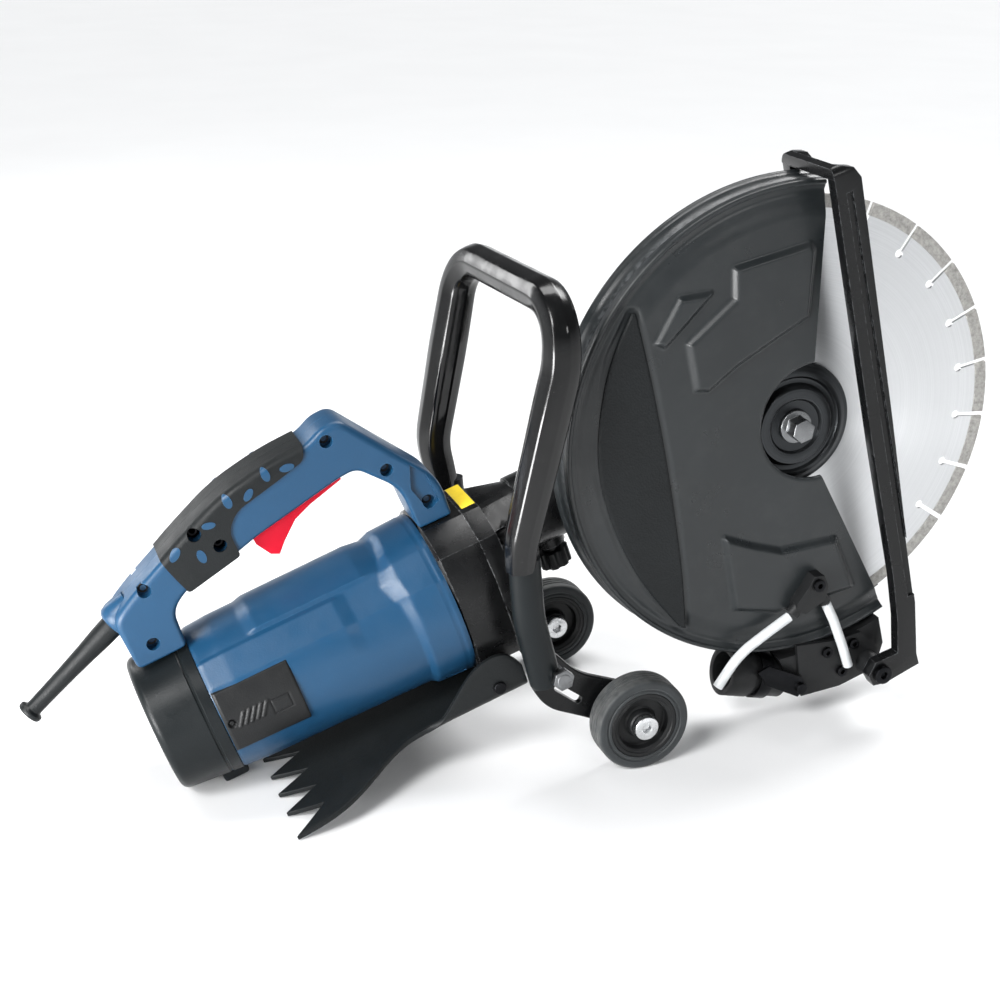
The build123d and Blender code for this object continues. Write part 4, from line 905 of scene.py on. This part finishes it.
def sleeve_section():
    """A rounded octagon, flatter on its broad sides."""
    points = []
    for k in range(64):
        a = 2 * math.pi * k / 64
        lean = 1 / (abs(math.cos(a)) ** 3.1 + abs(math.sin(a)) ** 3.1) ** (1 / 3.1)
        flat = math.cos(math.pi / 8) / math.cos((a % (math.pi / 4)) - math.pi / 8)
        size = 0.955 * (0.35 * lean + 0.65 * flat)
        points.append((size * math.cos(a), size * math.sin(a)))
    return points


SLEEVE = sleeve_section()


def bent(corners, radii, spacing):
    """A line through corners with each inner corner rounded by its radius, as evenly spaced points."""
    corners = [np.array(c, float) for c in corners]
    line = [corners[0]]
    for before, here, after, r in zip(corners, corners[1:], corners[2:], radii):
        a = (before - here) / np.linalg.norm(before - here)
        b = (after - here) / np.linalg.norm(after - here)
        half = math.acos(np.clip(np.dot(a, b), -1, 1)) / 2
        start, end = (here + way * (r / math.tan(half)) for way in (a, b))
        middle = here + (a + b) / np.linalg.norm(a + b) * (r / math.sin(half))
        u = (start - middle) / r
        v = (end - middle) - u * np.dot(end - middle, u)
        v /= np.linalg.norm(v)
        for t in np.linspace(0, math.pi - 2 * half, 14):
            line.append(middle + r * (u * math.cos(t) + v * math.sin(t)))
    line.append(corners[-1])
    return evenly(np.array(line), spacing)


# ---- handle: rounded shells with screw wells, and the rubber over the grip ----
HANDLE_SCREWS = [(-441.5, 104.6), (-428, 89), (-489.5, 80.4), (-500, 40), (-330, 128), (-297, 88), (-276, 50)]
HANDLE_FACE = 19.0
GRIP_FACE = 20.5
WELL_DEEP = 8.0
WELL_R = 5.0
OUTSIDE = 30.0           # cutters reach this far out from the middle plane
CORD_INLET = (-508, 0, 64.0)
CORD_WAY = (-80, 0, -36)
SWITCH_ROOM = [(-411, 66), (-322, 88), (-322, 112), (-411, 103)]
FOOT_POCKET = [(-280, 84), (-271, 72), (-268.5, 48), (-279, 45), (-285.5, 66)]
# outlines as corners: x, z, how far the corner is cut round, how far the face's edge is rounded
SHELL = [(-263, 33, 3, 2), (-262.5, 64, 14, 4), (-316, 139, 9, 5.5), (-331, 138, 5, 5.5), (-345, 131, 8, 5.5),
         (-375, 129, 12, 5.5), (-415, 121, 16, 5.5), (-460, 100, 16, 5.5), (-498, 81, 10, 5.5),
         (-519, 68, 10, 5), (-517, 25.5, 5, 2.5), (-479, 27, 4, 2), (-477, 56, 14, 4), (-462, 67, 9, 4),
         (-417, 77, 10, 4), (-403, 82, 8, 3), (-331, 97, 6, 3), (-317, 97.5, 10, 4), (-293, 70, 12, 4),
         (-290, 33, 3, 2)]
GRIP = [(-346, 134, 2, 1), (-350, 122.5, 5, 1), (-376, 115.5, 12, 1), (-408, 108, 9, 1),
        (-418.5, 96, 8, 1), (-417.5, 75.3, 3, 1), (-461.5, 65.4, 3, 1), (-467, 82, 8, 1),
        (-471, 97.5, 2, 1), (-460.5, 104, 14, 1), (-415.5, 125, 14, 1), (-375, 133, 10, 1)]
# the round back under the palm, which trims the rubber
BACK = [(-300, 135.5, 30, 7.5), (-375, 131, 16, 7.5), (-415.5, 122.8, 18, 7.5), (-460.5, 101.8, 18, 7.5),
        (-520, 69, 30, 7.5), (-520, 0, 30, 7.5), (-300, 0, 30, 7.5)]


def outline_from(corners):
    """Dense closed outline with its corners turned round: arrays of x, z and of edge rounding."""
    points, rounding = [], []
    n = len(corners)
    for k in range(n):
        before, here, after = (np.array(corners[(k + j) % n], float) for j in (-1, 0, 1))
        room = min(np.linalg.norm(before[:2] - here[:2]), np.linalg.norm(after[:2] - here[:2])) * 0.47
        corner = rounded(before[:2], here[:2], after[:2], min(here[2], room), 9)
        if points:
            last = np.array(points[-1])
            steps = max(2, int(np.linalg.norm(corner[0] - last) / 2.5))
            for t in np.linspace(0, 1, steps, endpoint=False)[1:]:
                points.append(tuple(last * (1 - t) + np.array(corner[0]) * t))
                rounding.append(rounding[-1] * (1 - t) + here[3] * t)
        points += corner
        rounding += [here[3]] * len(corner)
    return np.array(points), np.convolve(np.pad(rounding, 4, mode="wrap"), np.ones(9) / 9, mode="valid")


def pillow(corners, y_from, y_face, grow=0.0):
    """A slab from y_from to y_face on an outline grown by grow, the edge of its face rounded over."""
    line, rounding = outline_from(corners)
    ahead = np.roll(line, -1, 0) - np.roll(line, 1, 0)
    ahead /= np.linalg.norm(ahead, axis=1)[:, None]
    area = np.sum(line[:, 0] * np.roll(line[:, 1], -1) - np.roll(line[:, 0], -1) * line[:, 1])
    inward = np.stack([-ahead[:, 1], ahead[:, 0]], 1) * (1 if area > 0 else -1)
    line = line - inward * grow
    s = 1 if y_face > y_from else -1
    rings = [np.insert(line, 1, y_from, axis=1)]
    for turn in np.linspace(0, math.pi / 2, 7):
        inset = line + inward * (rounding * (1 - math.cos(turn)))[:, None]
        depth = y_face - s * rounding * (1 - math.sin(turn))
        rings.append(np.stack([inset[:, 0], depth, inset[:, 1]], 1))
    inset = line + inward * (rounding + 0.35)[:, None]
    rings.append(np.stack([inset[:, 0], 0 * rounding + y_face, inset[:, 1]], 1))
    n = len(line)
    faces = grid_faces(len(rings), n, closed_columns=True) + end_caps(n, len(rings) * n)
    return np.concatenate(rings), faces


def well(x, z, s):
    """The hole a screw sits in, on side s."""
    return oval_block(x, z, WELL_R, WELL_R, 0, s * (HANDLE_FACE - WELL_DEEP), s * OUTSIDE, 40)


def build_handle():
    for hand, s in (("right", -1), ("left", 1)):
        shell = pillow(SHELL, 0.12 * s, s * HANDLE_FACE)
        stands = ("handle_shell_" + hand,)
        piece = new_piece("handle_%s_shell" % hand, shell, "saw_body", stands, "blue_plastic")
        for x, z in HANDLE_SCREWS:
            cut(piece, well(x, z, s))
        cut(piece, block_on(SWITCH_ROOM, -s, s * 9.6))
        cut(piece, block_on(FOOT_POCKET, s * (HANDLE_FACE - 3), s * OUTSIDE))
    head = [(0, 0.6), (1.4, 0.6), (1.4, 1.9), (0, 2.2), (-0.3, 3.4), (0.3, 4.0), (3.0, 4.1), (3.0, 0.6)]
    heads = [lathe(head, (x, -HANDLE_FACE + WELL_DEEP - 0.2, z), Y_AXIS, 28) for x, z in HANDLE_SCREWS]
    new_piece("handle_well_screws", joined(*heads), "saw_body", ("handle_screws",), "black_steel")
    grip_line = outline_from(GRIP)[0]
    for s, name in ((-1, "grip_right"), (1, "grip_left")):
        stands = ("grip_rubber",) if s < 0 else ()
        back = pillow(BACK, 0.1 * s, s * (GRIP_FACE + 0.6), 0.2)
        piece = new_piece(name, back, "saw_body", stands, "black_rubber")
        cut(piece, block_on(grip_line, -2 * s, s * GRIP_FACE), "INTERSECT")
        for x, z in HANDLE_SCREWS[:2]:
            cut(piece, well(x, z, s))
    # blue collar round the cord sleeve
    collar = [(-8, 12.0), (0, 13.6), (6, 14.2), (11, 13.4), (13.2, 11.6), (13.8, 9.6), (13.8, 8.0), (-8, 8.0)]
    new_piece("sleeve_collar", lathe(collar, CORD_INLET, CORD_WAY, 64), "saw_body", (), "blue_plastic", 40)


# ovals that stand through the rubber of the grip: x, z, half length, half width, lean in degrees
OVALS = [(-379, 124.4, 5.2, 3.0, 93), (-363, 122.8, 5.4, 2.9, -8), (-411, 117.6, 5.2, 3.1, 93),
         (-395.5, 116, 5.0, 2.8, 42), (-429.7, 107, 5.0, 2.6, -14), (-459.5, 97, 5.6, 3.0, 42),
         (-443, 87.5, 5.4, 3.0, 95)]


def build_ovals():
    for s, name in ((-1, "grip_ovals_right"), (1, "grip_ovals_left")):
        back = pillow(BACK, 0.1 * s, s * (GRIP_FACE + 0.95), 0.55)
        piece = new_piece(name, back, "saw_body", (), "blue_plastic")
        ovals = [oval_block(*oval, s * 9, s * (GRIP_FACE + 0.35), 36) for oval in OVALS]
        cut(piece, joined(*ovals), "INTERSECT")


# ---- the front handle's lower tubes and the wheel arms bolted to them ----
ARM = [(-264, -96, 13, 1.8), (-254, -78, 8, 1.8), (-238, -78, 8, 1.8), (-226, -105, 14, 1.8),
       (-184, -140, 12, 1.8), (-179, -158, 10, 1.8), (-190, -172, 10, 1.8), (-207, -170, 10, 1.8),
       (-229, -147, 10, 1.8), (-258, -121, 12, 1.8)]
ARM_SLOT = [(-248.5, -107.5, 3.2, 0), (-243.5, -104.5, 3.2, 0), (-228.5, -126.5, 3.2, 0),
            (-233.5, -130.5, 3.2, 0)]
ARM_FACES = {"right": (-72.0, -77.6), "left": (110.0, 104.4)}
TUBE_Y = 87
TUBE_HALF = (9.2, 12.2)


def build_arms():
    slot_line = outline_from(ARM_SLOT)[0]
    for hand, (back, face) in ARM_FACES.items():
        stands = ("wheel_arms",) if hand == "right" else ()
        piece = new_piece("wheel_arm_" + hand, pillow(ARM, back, face), "saw_body", stands,
                          slot_of["wheel_arms"], 40, finish_of["wheel_arms"])
        cut(piece, block_on(slot_line, back + 2, face - 2))
    turn = np.linspace(0, 2 * math.pi, 40, endpoint=False)

    def ring(t):
        size = 1 - 0.09 * ease(t, 0.972, 1.0)
        return [(TUBE_HALF[0] * size * math.cos(a), TUBE_HALF[1] * size * math.sin(a)) for a in turn]

    for s, hand in ((-1, "right"), (1, "left")):
        path = bent([(x, s * TUBE_Y, z) for x, z in ((-237.5, 10), (-249, -36), (-253.5, -94))], [120], 3.0)
        stands = ("handle_bars",) if s < 0 else ()
        new_piece("lower_tube_" + hand, sweep_tube(path, ring, (1.0, 0.0, 0.0)), "saw_body", stands,
                  slot_of["handle_bars"], 40, finish_of["handle_bars"])


# ---- splash flap: one rubber sheet, its front edges turned up into ears ----
FLAP_UNDER = -103.0
FLAP_THICK = 4.0
FLAP_FRONT = -262.0
FLAP_BEND = 8.0
# along the saw, how far the sheet reaches from its middle line, measured round the bend
FLAP_REACH = [(-480, 114), (-450, 113), (-425, 108), (-400, 90), (-378, 72), (-360, 64), (-340, 66),
              (-322, 78), (-304, 95), (-288, 101), (-276, 101), (-267, 96), (-262, 84), (-259, 78)]
FLAP_HALF = 113.0
TEETH_Y = (0, 13, 27, 40, 53, 66, 80, 92, FLAP_HALF)
TEETH_X = (-466, -438, -466, -438, -466, -438, -466, -438, -466)
FLAP_FLAT = 67           # beyond here from the middle line the sheet turns up


def build_flap():
    curve = smooth_path([(x, 0, r) for x, r in FLAP_REACH], 1.0)
    half = np.interp(np.arange(0, 8.01, 0.25), np.arange(9), TEETH_Y)
    share = np.concatenate([-half[::-1], half[1:]])[None, :] / FLAP_HALF
    end = np.interp(np.abs(share) * FLAP_HALF, TEETH_Y, TEETH_X)
    t = np.linspace(0, 1, 90)[:, None]
    x = FLAP_FRONT + (end - FLAP_FRONT) * t
    reach_here = np.interp(x, curve[:, 0], curve[:, 2])
    along = np.abs(share) * reach_here
    # the sheet is flat at the teeth and fully bent beside the housing
    bend = ease(x, -372, -322) / FLAP_BEND
    start = FLAP_FLAT - FLAP_BEND
    past = np.maximum(0, along - start)
    turn = np.minimum(past * bend, math.pi / 2)
    radius = 1 / np.maximum(bend, 1e-5)
    beyond = np.maximum(0, past - turn * radius)
    out = np.minimum(along, start) + radius * np.sin(turn) + beyond * np.cos(turn)
    rise = radius * (1 - np.cos(turn)) + beyond * np.sin(turn)
    side_of = np.sign(share)
    under = np.stack([x, side_of * out, FLAP_UNDER + rise], -1)
    above = np.stack([0 * x, -side_of * np.sin(turn), np.cos(turn)], -1) * FLAP_THICK + under
    piece = new_piece("flap_sheet", thick_grid(above, under), "saw_body", ("splash_flap",),
                      slot_of["splash_flap"], CRISP, finish_of["splash_flap"])
    round_edges(piece, 0.8, 2, 55)
    dress(piece, finish_of["splash_flap"], CRISP)


# ---- wheels ----
TYRE_R = 37.2
WHEEL_WIDE = 22


def build_wheels():
    wall = [(0.3, 27.0), (0.3, 28.6), (0.9, 29.2), (0.9, 30.2), (0.1, 30.9)]
    tyre = wall + rounded((0, 31), (0, TYRE_R), (6, TYRE_R), 3.6)
    groove = ((-0.9, 0), (-0.5, 0.7), (0.5, 0.7), (0.9, 0))
    for middle in (7.2, 11.0, 14.8):
        tyre += [(middle + across, TYRE_R - deep) for across, deep in groove]
    tyre += rounded((16, TYRE_R), (WHEEL_WIDE, TYRE_R), (WHEEL_WIDE, 31), 3.6)
    tyre += [(WHEEL_WIDE - d, r) for d, r in reversed(wall)]
    face = [(1.0, 26.9), (0.4, 26.2), (0.4, 24.0), (1.2, 23.2), (1.6, 21.6), (2.4, 20.7), (7.2, 20.0),
            (8.0, 19.2), (8.0, 13.0), (7.0, 11.6), (1.8, 11.0), (1.0, 10.3), (1.0, 5.2)]
    hub = face + [(WHEEL_WIDE - d, r) for d, r in reversed(face)]
    for hand in ("right", "left"):
        where = tool_point(joint[hand + "_wheel_roll"]["pos_m"])
        start = (where[0], where[1] - WHEEL_WIDE / 2, where[2])
        body = hand + "_wheel"
        tread = lathe(tyre, start, Y_AXIS, 128)
        new_piece("tyre_%s_round" % hand, tread, body, ("tyre_" + hand,), "tyre_rubber", 30, M["tyre_" + hand])
        new_piece("wheel_%s_hub" % hand, lathe(hub, start, Y_AXIS), body, ("wheel_" + hand,),
                  "dark_grey_plastic", 30, M["black_plastic"])


# ---- blade fixings ----
def build_flange():
    flange = [(0, 48.6), (0.6, 49), (2.2, 49), (3.0, 48.3), (3.4, 46.5), (3.8, 45), (5.6, 42.5), (6.0, 41),
              (6.0, 38.4), (5.2, 37.6), (4.2, 36.6), (4.0, 35.2), (4.2, 33.2), (5.6, 32), (9.4, 30.6),
              (10.3, 29.6), (10.5, 28.4), (10.5, 23.2), (10.1, 21.8), (9.0, 20.8), (8.1, 20.2), (7.9, 19.4),
              (7.9, 4.4), (0, 4.4)]
    new_piece("outer_flange_turned", lathe(flange, (0, BLADE_Y - 1.1, 0), (0, -1, 0), 144), "blade_spindle",
              ("outer_flange",), "black_steel", 28, M["flange_steel"])
    soften("blade_bolt", 0.9, 3)


def build_gear_end():
    """The gear head's left end: a rimmed cover plate on six screws."""
    end = 61.0
    bolt_circle = 34
    plate = [(-1.5, 38.6), (0.9, 38.6), (1.6, 37.8), (1.6, 30.2), (0.5, 29.2), (0.5, 16.2), (1.9, 15.0),
             (1.9, 7.0), (1.1, 6.2), (1.1, 0.2), (-1.5, 0.2)]
    parts = [lathe(plate, (0, end, 0), Y_AXIS, 120)]
    head = [(-1.0, 0.3), (1.0, 0.3), (1.0, 1.5), (2.6, 1.7), (2.9, 2.1), (2.9, 2.8), (2.4, 3.2), (-1.0, 3.2)]
    for turn in np.radians(range(30, 390, 60)):
        place = (bolt_circle * math.cos(turn), end + 0.8, bolt_circle * math.sin(turn))
        parts.append(lathe(head, place, Y_AXIS, 24))
    rib, faces = new_box((17, end - 0.5, -0.9), (28.6, end + 1.3, 0.9), 0.5)
    for turn in np.radians(range(15, 375, 30)):
        c, s = math.cos(turn), math.sin(turn)
        parts.append((rib @ np.array([(c, 0, s), (0, 1, 0), (-s, 0, c)]), faces))
    new_piece("gear_end_plate", joined(*parts), body_of["gear_neck"], (), slot_of["gear_neck"], 30,
              M["black_casting"])


def build_sleeve():
    """Cord sleeve: a tapering boot with a lip at its end."""
    profile = [(-5, 8.4), (12, 8.9), (25, 8.5), (42, 7.5), (60, 6.7), (80, 6.2), (95, 6.0), (97.2, 6.4),
               (98.2, 8.0), (98.6, 8.9), (99.3, 9.2), (101.2, 9.2), (102, 8.7), (102, 5.2), (101.4, 4.2),
               (-5, 4.2)]
    boot = lathe(profile, CORD_INLET, CORD_WAY, 64)
    new_piece("cord_sleeve_boot", boot, "saw_body", ("cord_sleeve",), "black_rubber")


# ---- yellow label on the neck's flange, left blank ----
LABEL_X = (-254.5, -243.6)
LABEL_Y = (-16, 34)
NECK_TOP = motor_z + 63


def build_label():
    x, y = np.meshgrid(np.linspace(*LABEL_X, 14), np.linspace(*LABEL_Y, 60), indexing="ij")
    top = np.interp(y, [-24, 24, 50], [NECK_TOP, NECK_TOP, NECK_TOP - 13])
    edge_x = np.minimum(x - LABEL_X[0], LABEL_X[1] - x)
    edge_y = np.minimum(y - LABEL_Y[0], LABEL_Y[1] - y)
    lift = 0.12 + 0.28 * ease(np.minimum(edge_x, edge_y), 0, 0.8)
    outer, inner = (np.stack([x, y, top + rise], -1) for rise in (lift, -0.3))
    new_piece("blank_label", thick_grid(outer, inner), "saw_body", (), None, 40, M["label"])


# ---- everything else: CAD shapes with their edges rounded ----
SOFT = [
    ("gear_housing", 1.6, 3), ("gear_neck", 1.6, 3), ("gear_head_cover", 1.2, 3), ("handle_clamp", 1.2, 2),
    ("depth_frame", 2.2, 3), ("trigger", 1.8, 3), ("outlet_box", 1.2, 2), ("dust_spout", 0.8, 2),
    ("spout_clamp", 0.6, 2), ("water_valve", 1.1, 3), ("clamp_knob", 1.0, 3), ("flap_screws", 0.8, 2),
    ("arm_bolts", 0.8, 2), ("axle_bolts", 0.8, 2), ("hinge_bolt", 0.8, 2), ("guard_screws", 0.6, 2),
    ("guard_clamp", 0.8, 2), ("blade_segments", 0.25, 1),
]


def build_soft():
    for node, width, segments in SOFT:
        soften(node, width, segments)


for build in (build_guard, build_motor, build_rear_cap, build_brush_covers, build_front_handle, build_handle,
              build_ovals, build_flap, build_arms, build_wheels, build_flange, build_gear_end, build_sleeve,
              build_label, build_soft):
    build()


# ---- studio ----
SUNS = (("key", (-1.3, -0.8, 1.35), 2.0, 20), ("rim", (1.3, 0.9, 1.7), 2.0, 26))
BOXES = (
    ("low_strip", (-1.0, -0.5, 0.13), (0.6, 0.24), 16),
    ("left_box", (-1.35, -0.75, 0.75), (0.35, 1.3), 12),
    ("front_box", (0.5, -1.9, 1.5), (0.9, 0.35), 7),
    ("top_box", (0.1, 0.4, 1.8), (1.1, 0.5), 14),
    ("back_box", (-1.2, 1.7, 1.0), (0.4, 1.4), 12),
)
LAMP_TARGET = Vector((0, 0, 0.22))
CAMERA_PLACE = (-0.41775, -1.11402, 0.66171)
CAMERA_TURN = (20.05, 21.55, 0.385)      # round from the right side, down, rolled: degrees
CAMERA_LENS = 60.087


def put_in_scene(name, data):
    holder = bpy.data.objects.new(name, data)
    bpy.context.scene.collection.objects.link(holder)
    return holder


def build_world():
    """Pale round the horizon, dim overhead, so that dark parts keep their contrast."""
    world = bpy.data.worlds.new("studio")
    world.use_nodes = True
    nodes, links = world.node_tree.nodes, world.node_tree.links
    background = nodes["Background"]
    background.inputs["Color"].default_value = (0.95, 0.97, 1.0, 1)
    place = nodes.new("ShaderNodeTexCoord")
    height = nodes.new("ShaderNodeSeparateXYZ")
    fade = nodes.new("ShaderNodeMapRange")
    for key, number in (("From Min", 0.02), ("From Max", 0.34), ("To Min", 0.90), ("To Max", 0.16)):
        fade.inputs[key].default_value = number
    links.new(place.outputs["Generated"], height.inputs[0])
    links.new(height.outputs["Z"], fade.inputs["Value"])
    links.new(fade.outputs["Result"], background.inputs["Strength"])
    bpy.context.scene.world = world


def build_floor():
    bm = bmesh.new()
    bmesh.ops.create_grid(bm, x_segments=2, y_segments=2, size=60)
    mesh = bpy.data.meshes.new("floor")
    bm.to_mesh(mesh)
    bm.free()
    floor = put_in_scene("floor", mesh)
    g = Graph("floor", 0.7)
    pale = g.mix(g.span(g.noise(3), 0.3, 0.7), (0.86, 0.865, 0.87), (0.88, 0.885, 0.89))
    mesh.materials.append(g.done(pale))


def build_lamps():
    for name, way, strength, spread in SUNS:
        lamp = bpy.data.lights.new(name, "SUN")
        lamp.energy = strength
        lamp.angle = math.radians(spread)
        put_in_scene(name, lamp).rotation_euler = Vector(way).to_track_quat("Z", "Y").to_euler()
    for name, place, size, power in BOXES:
        lamp = bpy.data.lights.new(name, "AREA")
        lamp.shape = "RECTANGLE"
        lamp.size, lamp.size_y = size
        lamp.energy = power
        holder = put_in_scene(name, lamp)
        holder.location = place
        holder.rotation_euler = (LAMP_TARGET - Vector(place)).to_track_quat("-Z", "Y").to_euler()


def build_camera():
    camera = bpy.data.cameras.new("camera")
    camera.lens = CAMERA_LENS
    camera.sensor_width = 36
    camera.clip_start = 0.05
    eye = put_in_scene("camera", camera)
    round_z, down, roll = (math.radians(a) for a in CAMERA_TURN)
    ahead = Vector((math.sin(round_z), math.cos(round_z), 0))
    look = ahead * math.cos(down) - Vector((0, 0, math.sin(down)))
    level = look.cross(Vector((0, 0, 1))).normalized()
    above = level.cross(look)
    right = level * math.cos(roll) + above * math.sin(roll)
    above = above * math.cos(roll) - level * math.sin(roll)
    turn = Matrix((right, above, -look)).transposed().to_4x4()
    eye.matrix_world = Matrix.Translation(Vector(CAMERA_PLACE)) @ turn
    bpy.context.scene.camera = eye


build_world()
build_floor()
build_lamps()
build_camera()
bpy.context.scene.view_settings.view_transform = "Standard"
